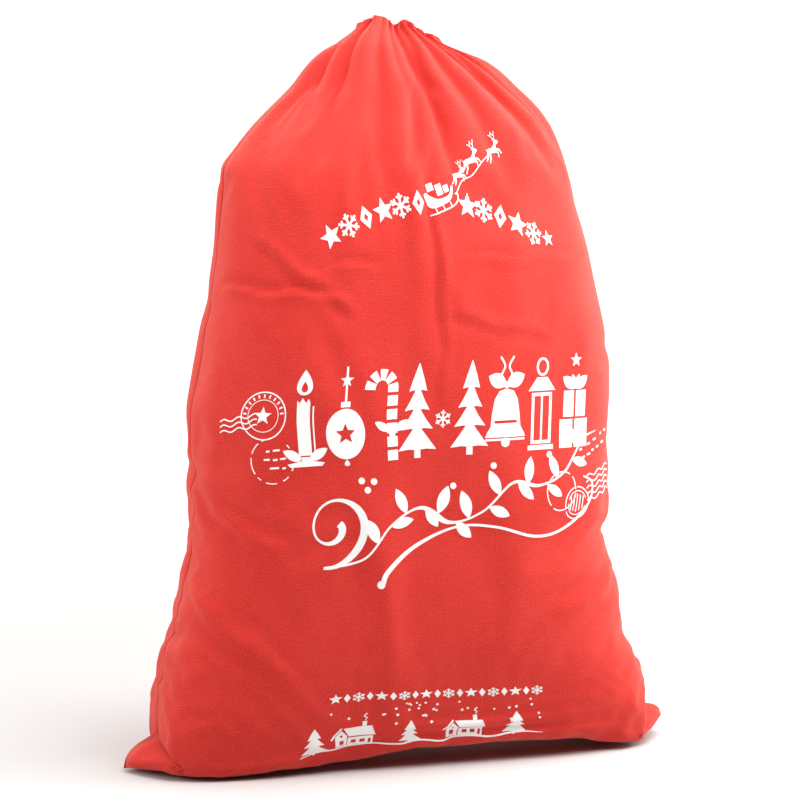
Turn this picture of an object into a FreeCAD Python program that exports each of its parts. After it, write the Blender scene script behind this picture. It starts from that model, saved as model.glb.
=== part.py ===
"""A filled fabric gift sack that stands on its base: a 500 x 750 mm flat-cut drawstring bag.

Frame: millimetres, +Z up, origin on the floor under the middle of the base. The printed front
faces -Y, and +X is the viewer's right. The cloth is two panels sewn along the sides and the
bottom, with a cord casing round the mouth. The upper part of each panel swings out at the
shoulder, which opens the mouth.
"""

import FreeCAD, Part
import math
import os

import Sketcher

# Driving dimensions, in millimetres.
SIZES = {
    "cloth": 1.0,  # one layer of brushed cotton
    "shoulder_height": 430.0,  # where the mouth halves hinge
    "joint_gap": 0.4,  # kept between pieces that part when the mouth opens
    "neck_top": 620.0,  # where the casing is sewn on
    "casing_height": 22.0,
    "casing_outer_radius": 40.0,
    "casing_inner_radius": 14.0,
    "casing_edge_radius": 8.0,
    "channel_radius": 3.3,
    "cord_radius": 2.5,
    "cord_ring_radius": 27.0,
    "exit_width": 9.0,  # the slit where the cord's ends leave the casing
    "knot_width": 12.0,
    "knot_height": 13.0,
    "knot_setback": 7.2,  # of its middle, behind the middle of the mouth
    "seam_allowance": 10.0,
    "seam_thickness": 2.0,  # both allowances, pressed together
    "corner_reach": 252.0,  # from the middle of the base to the tip of a corner
    "corner_height": 31.0,
    "corner_thickness": 26.0,
    "corner_root": 192.0,  # where the corner starts, inside the panel
    "thread_radius": 0.4,
    "stitch_lift": 0.3,  # from the casing to the thread
    "stitch_row_height": 631.0,
}

# The cloth's outline at each level: height, half width, half depth and the radius of the two ends.
LEVELS = [
    (0.0, 211.0, 54.0, 44.0),
    (30.0, 218.0, 68.0, 53.0),
    (70.0, 217.0, 80.0, 62.0),
    (130.0, 202.0, 89.0, 68.0),
    (230.0, 188.0, 96.0, 76.0),
    (320.0, 187.0, 97.0, 78.0),
    (400.0, 176.0, 95.0, 77.0),
    (465.0, 164.0, 90.0, 74.0),
    (520.0, 149.0, 81.0, 69.0),
    (565.0, 124.0, 69.0, 61.0),
    (598.0, 90.0, 55.0, 50.0),
    (620.0, 48.0, 40.0, 37.0),
]
LEVEL_WORDS = ("height", "half_width", "half_depth", "end_radius")

ROOM = 300.0  # the half size of the boxes that share the shell out, wider than the sack


def make_sheet(doc):
    """The spreadsheet of driving dimensions, one named cell for each."""
    sheet = doc.addObject("Spreadsheet::Sheet", "sizes")
    named = dict(SIZES)
    for number, level in enumerate(LEVELS):
        for word, value in zip(LEVEL_WORDS, level):
            named[f"level{number}_{word}"] = value
    for row, (alias, value) in enumerate(named.items(), start=1):
        sheet.set(f"A{row}", alias)
        sheet.set(f"B{row}", str(value))
        sheet.setAlias(f"B{row}", alias)
    doc.recompute()
    return sheet


def plane(body, role):
    """One of a body's own origin planes."""
    return next(f for f in body.Origin.OriginFeatures if f.Role == role)


def attached_sketch(body, name, role):
    sketch = body.newObject("Sketcher::SketchObject", name)
    sketch.AttachmentSupport = [(plane(body, role), "")]
    sketch.MapMode = "FlatFace"
    return sketch


def bind(thing, prop, formula):
    """Ties a property to a formula in which each @name is a cell of the sheet."""
    thing.setExpression(prop, formula.replace("@", "sizes."))


def name_constraint(sketch, constraint, name, formula):
    index = sketch.addConstraint(constraint)
    sketch.renameConstraint(index, name)
    bind(sketch, f"Constraints.{name}", formula)


def arc(centre, radius, start, end):
    circle = Part.Circle(FreeCAD.Vector(*centre, 0), FreeCAD.Vector(0, 0, 1), radius)
    return Part.ArcOfCircle(circle, start, end)


def oval_sketch(body, number, insets):
    """A four-centred oval at one level, drawn inside the cloth's outline by the named insets."""
    _, half_width, half_depth, end = LEVELS[number]
    inset = sum(SIZES[word] for word in insets)
    side = ((half_width - end) ** 2 + half_depth**2 - end**2) / (2 * (half_depth - end))
    across, along = half_width - end, side - half_depth
    turn = math.atan2(along, across)
    sketch = attached_sketch(body, f"{body.Name}_level{number}", "XY_Plane")
    curves = sketch.addGeometry(
        [
            arc((across, 0), end - inset, -turn, turn),
            arc((0, -along), side - inset, turn, math.pi - turn),
            arc((-across, 0), end - inset, math.pi - turn, math.pi + turn),
            arc((0, along), side - inset, math.pi + turn, 2 * math.pi - turn),
        ],
        False,
    )
    right, back, left, front = curves
    for n in range(4):
        tangent = Sketcher.Constraint("Tangent", curves[n], 2, curves[(n + 1) % 4], 1)
        sketch.addConstraint(tangent)
    for curve, axis in ((right, -1), (left, -1), (back, -2)):
        sketch.addConstraint(Sketcher.Constraint("PointOnObject", curve, 3, axis))
    sketch.addConstraint(Sketcher.Constraint("Equal", right, left))
    sketch.addConstraint(Sketcher.Constraint("Equal", back, front))
    wide, deep, round_end = (f"@level{number}_{word}" for word in LEVEL_WORDS[1:])
    inwards = "".join(f" - @{word}" for word in insets)
    side_formula = f"(({wide}-{round_end})^2+{deep}^2-{round_end}^2)/(2*({deep}-{round_end}))"
    name_constraint(
        sketch,
        Sketcher.Constraint("Radius", right, end - inset),
        "end_radius",
        round_end + inwards,
    )
    name_constraint(
        sketch,
        Sketcher.Constraint("Radius", back, side - inset),
        "side_radius",
        side_formula + inwards,
    )
    name_constraint(
        sketch,
        Sketcher.Constraint("DistanceX", -1, 1, right, 3, across),
        "end_centre",
        f"{wide}-{round_end}",
    )
    return sketch


def lofted_form(doc, name, insets):
    """The solid that the cloth wraps, inset all round by the named sizes; its floor by the cloth."""
    body = doc.addObject("PartDesign::Body", name)
    sketches = []
    for number in range(len(LEVELS)):
        sketch = oval_sketch(body, number, insets)
        lift = " + @cloth" if insets and number == 0 else ""
        bind(sketch, "AttachmentOffset.Base.z", f"@level{number}_height{lift}")
        sketches.append(sketch)
    doc.recompute()
    loft = body.newObject("PartDesign::AdditiveLoft", f"{name}_loft")
    loft.Profile = sketches[0]
    loft.Sections = sketches[1:]
    loft.Ruled = False
    loft.Closed = False
    doc.recompute()
    return body


def zone(doc, name, corner, size):
    """A box that picks out part of a form: its lowest corner and its size, as formulas."""
    box = doc.addObject("Part::Box", name)
    for axis, formula in zip("xyz", corner):
        bind(box, f"Placement.Base.{axis}", formula)
    for side, formula in zip(("Length", "Width", "Height"), size):
        bind(box, side, formula)
    return box


def common(doc, label, first, second):
    both = doc.addObject("Part::Common", label)
    both.Base, both.Tool = first, second
    both.Label = label
    return both


def cut(doc, label, base, tool):
    rest = doc.addObject("Part::Cut", label)
    rest.Base, rest.Tool = base, tool
    rest.Label = label
    return rest


def panels(doc, shell):
    """The front and back panels below the shoulder, and the mouth halves above it."""
    whole, half = f"{2 * ROOM}", f"{ROOM}"
    above = "@shoulder_height + @joint_gap"
    upper_size = (whole, half, f"@neck_top - ({above})")
    parts = []
    for side, near, clear in (("front", f"-{half}", "-"), ("back", "0", "+")):
        lower = zone(
            doc,
            f"{side}_lower_zone",
            (f"-{half}", near, "0"),
            (whole, half, "@shoulder_height"),
        )
        beside = f"{near} {clear} @joint_gap / 2"
        upper = zone(doc, f"{side}_upper_zone", (f"-{half}", beside, above), upper_size)
        parts.append(common(doc, f"{side}_panel", shell, lower))
        parts.append(common(doc, f"{side}_shoulder", shell, upper))
    return parts


def seams(doc, inner, seam_core):
    """The allowances inside the side seams and the bottom seam, pressed flat."""
    allowance = cut(doc, "seam_band", inner, seam_core)
    near, thick = "-@seam_thickness / 2", "@seam_thickness"
    floor = "@cloth + @seam_allowance + @joint_gap"
    tall = f"@shoulder_height - ({floor})"
    left = zone(doc, "left_seam_zone", (f"-{ROOM}", near, floor), (f"{ROOM}", thick, tall))
    right = zone(doc, "right_seam_zone", ("0", near, floor), (f"{ROOM}", thick, tall))
    under = zone(
        doc,
        "bottom_seam_zone",
        (f"-{ROOM}", near, "@cloth"),
        (f"{2 * ROOM}", thick, "@seam_allowance"),
    )
    return [
        common(doc, "left_side_seam", allowance, left),
        common(doc, "right_side_seam", allowance, right),
        common(doc, "bottom_seam", inner, under),
    ]


def corners(doc, outer):
    """The two bottom corners of the flat cut, which stand out from the filled sack."""
    parts = []
    for side, sign in (("left", "-1"), ("right", "1")):
        pillow = doc.addObject("Part::Ellipsoid", f"{side}_corner_pillow")
        bind(pillow, "Radius1", "@corner_height / 2")
        bind(pillow, "Radius2", "@corner_reach - @corner_root")
        bind(pillow, "Radius3", "@corner_thickness / 2")
        bind(pillow, "Placement.Base.x", f"{sign} * @corner_root")
        bind(pillow, "Placement.Base.z", "@corner_height / 2")
        parts.append(cut(doc, f"{side}_bottom_corner", pillow, outer))
    return parts


def revolved(body, sketch, label, front):
    """Turns a profile half way round the Z axis, through the front or the back, just clear of it."""
    body.Label = label
    turn = body.newObject("PartDesign::Revolution", f"{label}_turn")
    turn.Profile = sketch
    turn.ReferenceAxis = (sketch, ["V_Axis"])
    turn.Angle = 180
    turn.Reversed = front
    bind(body, "Placement.Base.y", f"{'-' if front else ''}@joint_gap / 2")


def casing_profile(body):
    """The hem's section: a rounded rectangle with the cord's channel through it."""
    inner, outer = SIZES["casing_inner_radius"], SIZES["casing_outer_radius"]
    low, high = SIZES["neck_top"], SIZES["neck_top"] + SIZES["casing_height"]
    edge = SIZES["casing_edge_radius"]
    sketch = attached_sketch(body, f"{body.Name}_section", "XZ_Plane")
    quarter = math.pi / 2
    spots = [
        ((inner + edge, low + edge), 2),
        ((outer - edge, low + edge), 3),
        ((outer - edge, high - edge), 0),
        ((inner + edge, high - edge), 1),
    ]
    arcs = [arc(c, edge, q * quarter, (q + 1) * quarter) for c, q in spots]
    ends = [(a.StartPoint, a.EndPoint) for a in arcs]
    lines = [
        Part.LineSegment(ends[n][1], ends[(n + 1) % 4][0]) for n in range(4)
    ]
    curves = sketch.addGeometry(arcs + lines, False)
    for n in range(4):
        this, line, following = curves[n], curves[4 + n], curves[(n + 1) % 4]
        sketch.addConstraint(Sketcher.Constraint("Tangent", this, 2, line, 1))
        sketch.addConstraint(Sketcher.Constraint("Tangent", line, 2, following, 1))
    for n in (1, 2, 3):
        sketch.addConstraint(Sketcher.Constraint("Equal", curves[0], curves[n]))
    sketch.addConstraint(Sketcher.Constraint("Horizontal", curves[4]))
    sketch.addConstraint(Sketcher.Constraint("Vertical", curves[5]))
    name_constraint(
        sketch,
        Sketcher.Constraint("Radius", curves[0], edge),
        "edge_radius",
        "@casing_edge_radius",
    )
    places = (
        ("DistanceX", 0, inner + edge, "inner_edge", "@casing_inner_radius + @casing_edge_radius"),
        ("DistanceX", 1, outer - edge, "outer_edge", "@casing_outer_radius - @casing_edge_radius"),
        ("DistanceY", 0, low + edge, "low_edge", "@neck_top + @casing_edge_radius"),
        (
            "DistanceY",
            2,
            high - edge,
            "high_edge",
            "@neck_top + @casing_height - @casing_edge_radius",
        ),
    )
    for kind, corner, value, name, formula in places:
        spot = Sketcher.Constraint(kind, -1, 1, curves[corner], 3, value)
        name_constraint(sketch, spot, name, formula)
    return sketch


def ring_circle(sketch, radius, across, up, radius_formula, across_formula, up_formula):
    """A circle in a section sketch, at a distance across from the axis and up from the floor."""
    centre = FreeCAD.Vector(across, up, 0)
    circle = sketch.addGeometry(Part.Circle(centre, FreeCAD.Vector(0, 0, 1), radius), False)
    name_constraint(
        sketch, Sketcher.Constraint("Radius", circle, radius), "ring_section", radius_formula
    )
    name_constraint(
        sketch,
        Sketcher.Constraint("DistanceX", -1, 1, circle, 3, across),
        "ring_radius",
        across_formula,
    )
    name_constraint(
        sketch,
        Sketcher.Constraint("DistanceY", -1, 1, circle, 3, up),
        "ring_height",
        up_formula,
    )


CORD_HEIGHT = "@neck_top + @casing_height / 2"


def casings(doc):
    """The two halves of the hem round the mouth, with a slit in the back one for the cord's ends."""
    parts = []
    cord_height = SIZES["neck_top"] + SIZES["casing_height"] / 2
    for side in ("front", "back"):
        body = doc.addObject("PartDesign::Body", f"{side}_hem")
        sketch = casing_profile(body)
        ring_circle(
            sketch,
            SIZES["channel_radius"],
            SIZES["cord_ring_radius"],
            cord_height,
            "@channel_radius",
            "@cord_ring_radius",
            CORD_HEIGHT,
        )
        doc.recompute()
        revolved(body, sketch, f"{side}_hem", side == "front")
        parts.append(body)
    front, back = parts
    front.Label = "front_casing"
    slit = zone(
        doc,
        "cord_exit",
        ("-@exit_width / 2", "0", f"{CORD_HEIGHT} - @channel_radius"),
        ("@exit_width", "@cord_ring_radius", "2 * @channel_radius"),
    )
    return [front, cut(doc, "back_casing", back, slit)]


def drawcord(doc):
    """The cord's loop inside the casing, with the two ends that turn in to the knot."""
    loop = doc.addObject("Part::Torus", "cord_loop")
    bind(loop, "Radius1", "@cord_ring_radius")
    bind(loop, "Radius2", "@cord_radius")
    bind(loop, "Placement.Base.z", CORD_HEIGHT)
    ends = doc.addObject("Part::Cylinder", "cord_ends")
    bind(ends, "Radius", "@cord_radius")
    bind(ends, "Height", "@cord_ring_radius - @knot_width")
    ends.Placement.Rotation = FreeCAD.Rotation(FreeCAD.Vector(1, 0, 0), -90)
    bind(ends, "Placement.Base.y", "@knot_width")
    bind(ends, "Placement.Base.z", CORD_HEIGHT)
    cord = doc.addObject("Part::Fuse", "drawcord")
    cord.Base, cord.Tool = loop, ends
    cord.Label = "drawcord"
    ball = doc.addObject("Part::Ellipsoid", "knot_ball")
    bind(ball, "Radius1", "@knot_height / 2")
    bind(ball, "Radius2", "@knot_width / 2")
    bind(ball, "Radius3", "@knot_width / 2")
    bind(ball, "Placement.Base.y", "@knot_setback")
    bind(ball, "Placement.Base.z", CORD_HEIGHT)
    return [cord, cut(doc, "drawcord_knot", ball, cord)]


def hem_stitching(doc):
    """The row of thread that closes each half of the casing."""
    parts = []
    across = SIZES["casing_outer_radius"] + SIZES["stitch_lift"] + SIZES["thread_radius"]
    for side in ("front", "back"):
        body = doc.addObject("PartDesign::Body", f"{side}_thread")
        sketch = attached_sketch(body, f"{side}_thread_section", "XZ_Plane")
        ring_circle(
            sketch,
            SIZES["thread_radius"],
            across,
            SIZES["stitch_row_height"],
            "@thread_radius",
            "@casing_outer_radius + @stitch_lift + @thread_radius",
            "@stitch_row_height",
        )
        doc.recompute()
        revolved(body, sketch, f"{side}_hem_stitching", side == "front")
        parts.append(body)
    return parts


def checked(doc, parts):
    """Stops if an object failed, or if a sub-part's shape isn't a sound closed solid."""
    for thing in doc.Objects:
        if "Invalid" in thing.State or "Error" in thing.State:
            raise RuntimeError(f"{thing.Label} failed: {thing.State}")
    for part in parts:
        shape = part.Shape
        if shape.isNull() or not shape.isValid() or shape.Volume <= 0:
            raise RuntimeError(f"{part.Label} has no sound shape")
        print(f"{part.Label:24s} {shape.Volume / 1000:9.2f} cm3  {len(shape.Solids)} solid")


def main():
    doc = FreeCAD.newDocument("gift_sack")
    make_sheet(doc)
    outer = lofted_form(doc, "outer_form", [])
    inner = lofted_form(doc, "inner_form", ["cloth"])
    seam_core = lofted_form(doc, "seam_core", ["cloth", "seam_allowance"])
    shell = cut(doc, "cloth_shell", outer, inner)
    parts = panels(doc, shell) + seams(doc, inner, seam_core) + corners(doc, outer)
    parts += casings(doc) + drawcord(doc) + hem_stitching(doc)
    doc.recompute()
    checked(doc, parts)
    os.makedirs("parts", exist_ok=True)
    for part in parts:
        part.Shape.exportStep(os.path.join("parts", f"{part.Label}.step"))


main()
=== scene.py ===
"""The looks of a filled fabric gift sack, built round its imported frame.

The two cotton sheets are shaped from their flat cut, settled by a short cloth simulation over a
full load, and then given their hem, seams, stitching, cord and print.
"""

import math

import bpy
import numpy as np
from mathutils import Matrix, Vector
from mathutils.geometry import tessellate_polygon


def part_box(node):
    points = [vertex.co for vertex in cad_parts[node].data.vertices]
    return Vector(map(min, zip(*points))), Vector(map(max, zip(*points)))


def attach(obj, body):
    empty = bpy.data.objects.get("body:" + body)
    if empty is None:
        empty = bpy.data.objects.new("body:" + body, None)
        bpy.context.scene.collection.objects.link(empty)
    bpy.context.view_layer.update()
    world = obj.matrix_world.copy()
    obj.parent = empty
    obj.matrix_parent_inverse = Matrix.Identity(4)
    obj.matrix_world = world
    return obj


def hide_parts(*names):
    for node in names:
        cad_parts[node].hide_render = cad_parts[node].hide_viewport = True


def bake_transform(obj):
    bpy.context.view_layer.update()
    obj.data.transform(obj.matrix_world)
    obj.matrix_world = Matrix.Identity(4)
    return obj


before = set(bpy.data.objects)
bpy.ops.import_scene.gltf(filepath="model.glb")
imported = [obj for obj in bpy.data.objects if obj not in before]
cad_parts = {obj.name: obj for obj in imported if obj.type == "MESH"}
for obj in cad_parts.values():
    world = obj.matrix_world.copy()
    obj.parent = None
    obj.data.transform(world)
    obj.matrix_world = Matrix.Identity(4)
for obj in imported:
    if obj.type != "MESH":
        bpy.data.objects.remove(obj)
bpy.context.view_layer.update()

bl_info = {
    "name": "Fabric gift sack",
    "version": (1, 0, 0),
    "blender": (4, 5, 0),
    "location": "View3D > Sidebar > Gift sack",
    "description": "Builds a filled drawstring gift sack round its packed frame",
    "category": "Mesh",
}

BASE_LOW, BASE_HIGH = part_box("front_panel")
RIM_LOW, RIM_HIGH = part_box("front_casing")
CORNER_LOW, CORNER_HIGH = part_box("right_bottom_corner")
SHOULDER = BASE_HIGH.z
RIM = RIM_HIGH.z
MM = 0.001
BEND = 0.012  # radius of the turn from the base up into the sides
WEAVE = 0.0014  # between the threads that the cloth's weave shows
EDGE_STEP = 0.004  # between points along a seam
STRAND = 0.27  # radius of a strand, and its distance from the cord's middle, by the cord's width

# The filled form at each height: height, half width, half depth, how square the section is, and
# how far its middle lies to the right.
FORM = [
    (0.000, 0.216, 0.062, 6.5, 0.001),
    (0.030, 0.221, 0.071, 4.6, 0.001),
    (0.060, 0.220, 0.079, 3.4, 0.001),
    (0.100, 0.206, 0.086, 3.0, -0.003),
    (0.140, 0.198, 0.090, 2.8, -0.001),
    (0.186, 0.184, 0.093, 2.7, -0.003),
    (0.230, 0.186, 0.096, 2.5, 0.002),
    (0.270, 0.186, 0.097, 2.5, 0.000),
    (0.310, 0.187, 0.098, 2.5, 0.000),
    (0.356, 0.181, 0.097, 2.5, 0.004),
    (0.400, 0.173, 0.095, 2.5, 0.003),
    (0.440, 0.166, 0.093, 2.5, 0.002),
    (0.483, 0.158, 0.088, 2.4, -0.002),
    (0.517, 0.153, 0.082, 2.4, -0.003),
    (0.550, 0.134, 0.074, 2.3, 0.003),
    (0.567, 0.119, 0.069, 2.2, 0.005),
    (0.584, 0.100, 0.062, 2.2, 0.004),
    (0.601, 0.088, 0.054, 2.1, 0.002),
    (0.618, 0.077, 0.047, 2.0, 0.002),
    (0.630, 0.061, 0.038, 2.0, 0.000),
    (0.640, 0.038, 0.030, 2.0, -0.004),
]

# Each crease of the gathered mouth: across the panel at the rim, across it at its foot, the
# foot's height, its depth at the rim and at half way, and its width.
FRONT_CREASES = [
    (-0.14, 0.20, 0.455, 0.0180, 0.0140, 0.0110),
    (-0.38, -0.14, 0.440, 0.0140, 0.0090, 0.0160),
    (-0.62, -0.52, 0.500, 0.0150, 0.0150, 0.0100),
    (-0.88, -0.74, 0.460, 0.0140, 0.0180, 0.0190),
    (0.10, 0.42, 0.460, 0.0140, 0.0090, 0.0150),
    (0.30, 0.70, 0.480, 0.0160, 0.0120, 0.0100),
    (0.56, 0.86, 0.480, 0.0160, 0.0110, 0.0100),
    (0.82, 0.90, 0.450, 0.0120, 0.0080, 0.0150),
    (-0.26, -0.02, 0.520, 0.0110, 0.0060, 0.0080),
    (-0.02, 0.10, 0.505, 0.0120, 0.0060, 0.0090),
    (0.43, 0.60, 0.530, 0.0100, 0.0060, 0.0080),
]
BACK_CREASES = [
    (-0.83, -0.66, 0.470, 0.0140, 0.0120, 0.0150),
    (-0.52, -0.47, 0.490, 0.0150, 0.0100, 0.0110),
    (-0.24, -0.12, 0.440, 0.0160, 0.0130, 0.0130),
    (0.10, 0.16, 0.480, 0.0130, 0.0080, 0.0120),
    (0.40, 0.33, 0.450, 0.0150, 0.0120, 0.0130),
    (0.70, 0.62, 0.470, 0.0140, 0.0130, 0.0160),
]

# How far the rim lies under its highest point, from the left seam to the right one.
RIM_ACROSS = (-1.0, -0.75, -0.55, -0.32, -0.14, 0.06, 0.30, 0.65, 1.0)
FRONT_RIM_DROP = (0.012, 0.005, 0.000, 0.002, 0.009, 0.003, 0.010, 0.016, 0.020)
BACK_RIM_DROP = (0.012, 0.008, 0.005, 0.010, 0.007, 0.009, 0.006, 0.014, 0.020)

# Sharp lines where the sack was folded in its packet: across and up to across and up on the flat
# cut of the front, the height of the ridge, and its half width.
PACKET_CREASES = [
    (0.035, 0.508, 0.190, 0.506, 0.0010, 0.0040),
    (-0.215, 0.483, -0.094, 0.479, 0.0015, 0.0050),
    (-0.098, 0.503, -0.059, 0.502, 0.0012, 0.0040),
    (-0.180, 0.522, -0.082, 0.463, -0.0014, 0.0060),
    (0.008, 0.459, 0.113, 0.436, -0.0010, 0.0070),
    (0.005, 0.385, 0.005, 0.573, 0.0007, 0.0050),
    (-0.205, 0.300, -0.130, 0.268, 0.0014, 0.0090),
    (-0.220, 0.215, -0.120, 0.150, -0.0016, 0.0110),
    (0.120, 0.200, 0.215, 0.232, 0.0012, 0.0090),
]


def from_hex(text):
    """A linear colour from an sRGB hex value."""
    parts = [int(text[i : i + 2], 16) / 255 for i in (1, 3, 5)]
    return [p / 12.92 if p <= 0.04045 else ((p + 0.055) / 1.055) ** 2.4 for p in parts]


def colour_property(name, description, hex_value):
    return bpy.props.FloatVectorProperty(
        name=name, description=description, subtype="COLOR", size=3, default=from_hex(hex_value)
    )


def length_property(name, description, default):
    return bpy.props.FloatProperty(
        name=name, description=description, default=default, min=0, unit="LENGTH"
    )


def number_property(name, description, default):
    return bpy.props.FloatProperty(name=name, description=description, default=default)


def angle_property(name, description, degrees):
    return bpy.props.FloatProperty(
        name=name, description=description, default=math.radians(degrees), subtype="ANGLE"
    )


class SackCloth(bpy.types.PropertyGroup):
    flat_width: length_property("Flat width", "Width that each sheet is cut to", 0.500)
    flat_length: length_property("Flat length", "Length that each sheet is cut to", 0.750)
    thickness: length_property("Thickness", "Thickness of one layer of cloth", 0.0011)
    hem: length_property("Hem", "Depth of the casing turned in at the mouth", 0.028)
    allowance: length_property("Seam allowance", "Cloth outside each seam", 0.010)
    columns: bpy.props.IntProperty(name="Columns", description="Cells across a sheet", default=128)
    rows: bpy.props.IntProperty(name="Rows", description="Cells up a sheet", default=184)
    frames: bpy.props.IntProperty(name="Frames", description="Cloth steps", default=14)
    settle_limit: length_property("Settle limit", "Furthest that a point may settle", 0.014)
    ink_lift: length_property("Ink lift", "How far the ink stands on the cloth", 0.00028)


class SackStitching(bpy.types.PropertyGroup):
    length: length_property("Stitch", "Length of one stitch", 0.0030)
    gap: length_property("Gap", "Gap between stitches", 0.0011)
    thread: length_property("Thread", "Radius of the thread", 0.00032)
    below_rim: length_property("Below the rim", "Row of stitches below the rim", 0.025)


class SackCord(bpy.types.PropertyGroup):
    diameter: length_property("Diameter", "Width of the twisted cord", 0.0040)
    lay: length_property("Lay", "Length of one full twist", 0.016)
    strands: bpy.props.IntProperty(name="Strands", description="Strands in the cord", default=3)
    below_rim: length_property("Below the rim", "Cord below the rim", 0.013)
    depth: length_property("Depth", "Middle of the cord inside the cloth", 0.0038)


class SackColours(bpy.types.PropertyGroup):
    cloth: colour_property("Cloth", "Dyed cotton", "#CE2018")
    nap: colour_property("Nap", "Raised fibres that catch the light", "#FF9A8C")
    ink: colour_property("Ink", "Printed white", "#F2F0EE")
    thread: colour_property("Thread", "Sewing thread", "#CF3228")
    cord: colour_property("Cord", "Braided drawcord", "#B8241E")
    floor: colour_property("Floor", "Studio floor", "#C8C7C5")


class SackStage(bpy.types.PropertyGroup):
    azimuth: angle_property("Azimuth", "Turn of the camera", -17)
    distance: length_property("Distance", "Camera to sack", 2.4)
    height: length_property("Height", "Camera above the floor", 0.60)
    aim: length_property("Aim", "Height that the camera looks at", 0.311)
    aim_across: length_property("Aim across", "How far aside the camera looks", 0.0)
    lens: number_property("Lens", "Focal length in mm", 125.0)
    key: number_property("Key", "Power of the key light, in watts", 17.5)
    hood: number_property("Hood", "Power of the light above, in watts", 20.5)
    panel: length_property("Panel", "Width of each light panel", 0.9)
    fill: number_property("Fill", "Power of the fill light, in watts", 10.0)
    sky: number_property("Sky", "Strength of the soft light from above", 0.95)
    sky_spread: angle_property("Sky spread", "Width of the light above", 70)
    surround: number_property("Surround", "Strength of the white surround behind the sack", 1.3)
    surround_front: number_property("Surround front", "Strength of the surround in front", 0.04)


# ---------------------------------------------------------------- general helpers


def smooth(t):
    t = np.clip(t, 0, 1)
    return t * t * (3 - 2 * t)


def deselect():
    if bpy.context.object and bpy.context.object.mode != "OBJECT":
        bpy.ops.object.mode_set(mode="OBJECT")
    bpy.ops.object.select_all(action="DESELECT")


def pick(thing):
    """Makes one object the only selected one, and the active one."""
    deselect()
    thing.select_set(True)
    bpy.context.view_layer.objects.active = thing


def mesh_object(name, points, faces):
    mesh = bpy.data.meshes.new(name)
    mesh.from_pydata([tuple(p) for p in points], [], [tuple(f) for f in faces])
    mesh.update()
    thing = bpy.data.objects.new(name, mesh)
    bpy.context.scene.collection.objects.link(thing)
    return thing


def shade(thing, angle=None):
    pick(thing)
    if angle is None:
        bpy.ops.object.shade_smooth()
    else:
        bpy.ops.object.shade_smooth_by_angle(angle=angle)


def finish_modifiers(thing):
    pick(thing)
    for modifier in list(thing.modifiers):
        bpy.ops.object.modifier_apply(modifier=modifier.name)


# ---------------------------------------------------------------- the sheets' form


def form_at(height):
    """Half width, half depth, squareness and middle of the filled form at those heights."""
    levels = np.array(FORM)
    return [np.interp(height, levels[:, 0], levels[:, k]) for k in (1, 2, 3, 4)]


def smoothed_form(heights):
    """The form's sizes with the corners between its levels rounded off."""
    fine = np.linspace(0, FORM[-1][0], 400)
    sizes = []
    for values in form_at(fine):
        ends = np.pad(values, 9, mode="edge")
        window = np.hanning(19) / np.hanning(19).sum()
        sizes.append(np.interp(heights, fine, np.convolve(ends, window, mode="valid")))
    return sizes


def section(across, half_width, half_depth, square):
    """Points round the front half of one section, and their outward normals, by share of its arc."""
    turn = np.linspace(0, math.pi, 721)
    power = 2 / square
    x = -half_width * np.sign(np.cos(turn)) * np.abs(np.cos(turn)) ** power
    y = -half_depth * np.abs(np.sin(turn)) ** power
    run = np.concatenate([[0], np.cumsum(np.hypot(np.diff(x), np.diff(y)))])
    at = (across + 1) / 2 * run[-1]
    px, py = np.interp(at, run, x), np.interp(at, run, y)
    dx, dy = np.gradient(x, run), np.gradient(y, run)
    nx, ny = np.interp(at, run, dy), -np.interp(at, run, dx)
    size = np.hypot(nx, ny)
    return px, py, nx / size, ny / size, run[-1] / 2


def profile(rows):
    """The path of the cloth up the middle of a panel: share of the depth, and height, by row."""
    turn = np.linspace(0, math.pi / 2, 13)
    flat_share = 1 - BEND / FORM[0][2]
    share = np.concatenate(
        [np.linspace(0, flat_share, 20)[:-1], flat_share + (1 - flat_share) * np.sin(turn), np.ones(219)]
    )
    height = np.concatenate(
        [np.zeros(19), BEND * (1 - np.cos(turn)), np.linspace(BEND, RIM, 220)[1:]]
    )
    depth = smoothed_form(height)[1] * share
    run = np.concatenate([[0], np.cumsum(np.hypot(np.diff(depth), np.diff(height)))])
    at = np.linspace(0, run[-1], rows)
    return np.interp(at, run, share), np.interp(at, run, height)


def crease_depth(creases, across, height, quarter):
    """How far each point of a row is drawn in by the creases of the gathered mouth."""
    drawn = np.zeros_like(across)
    for rim, foot, foot_height, deep, half, width in creases:
        up = np.clip((height - foot_height) / (RIM - foot_height), 0, 1)
        centre = foot + (rim - foot) * up**1.4
        depth = np.interp(up, [0, 0.5, 0.9, 1], [0, half, deep, deep]) * smooth(up * 2.5)
        spread = width * np.interp(up, [0, 0.6, 1], [1.6, 1.0, 0.45])
        away = np.abs(across - centre) * quarter / spread
        drawn += depth * np.exp(-(away**1.5))
    return drawn


def lumps(x, z, phase):
    """The soft unevenness of cloth over a full load."""
    return (
        0.0020 * np.sin(x * 17 + phase) * np.sin(z * 13 + 1.7 * phase)
        + 0.0012 * np.sin(x * 37 + 2.1 * phase + z * 11)
        + 0.0009 * np.sin(z * 43 + x * 23 + phase)
    )


def side_puckers(away, height, side):
    """Short dents along a side seam, where its stitching pulls the cloth in."""
    places = {
        -1: ((0.255, 0.0045, 0.010), (0.115, 0.0050, 0.012), (0.395, 0.0025, 0.014)),
        1: ((0.350, 0.0045, 0.009), (0.228, 0.0050, 0.011), (0.188, 0.0045, 0.008), (0.092, 0.003, 0.012)),
    }
    dent = np.zeros_like(away)
    for level, depth, tall in places[side]:
        tilt = height - level - 0.22 * away
        dent += depth * np.exp(-((tilt / tall) ** 2)) * np.exp(-((away / 0.045) ** 2))
    return dent


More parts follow.
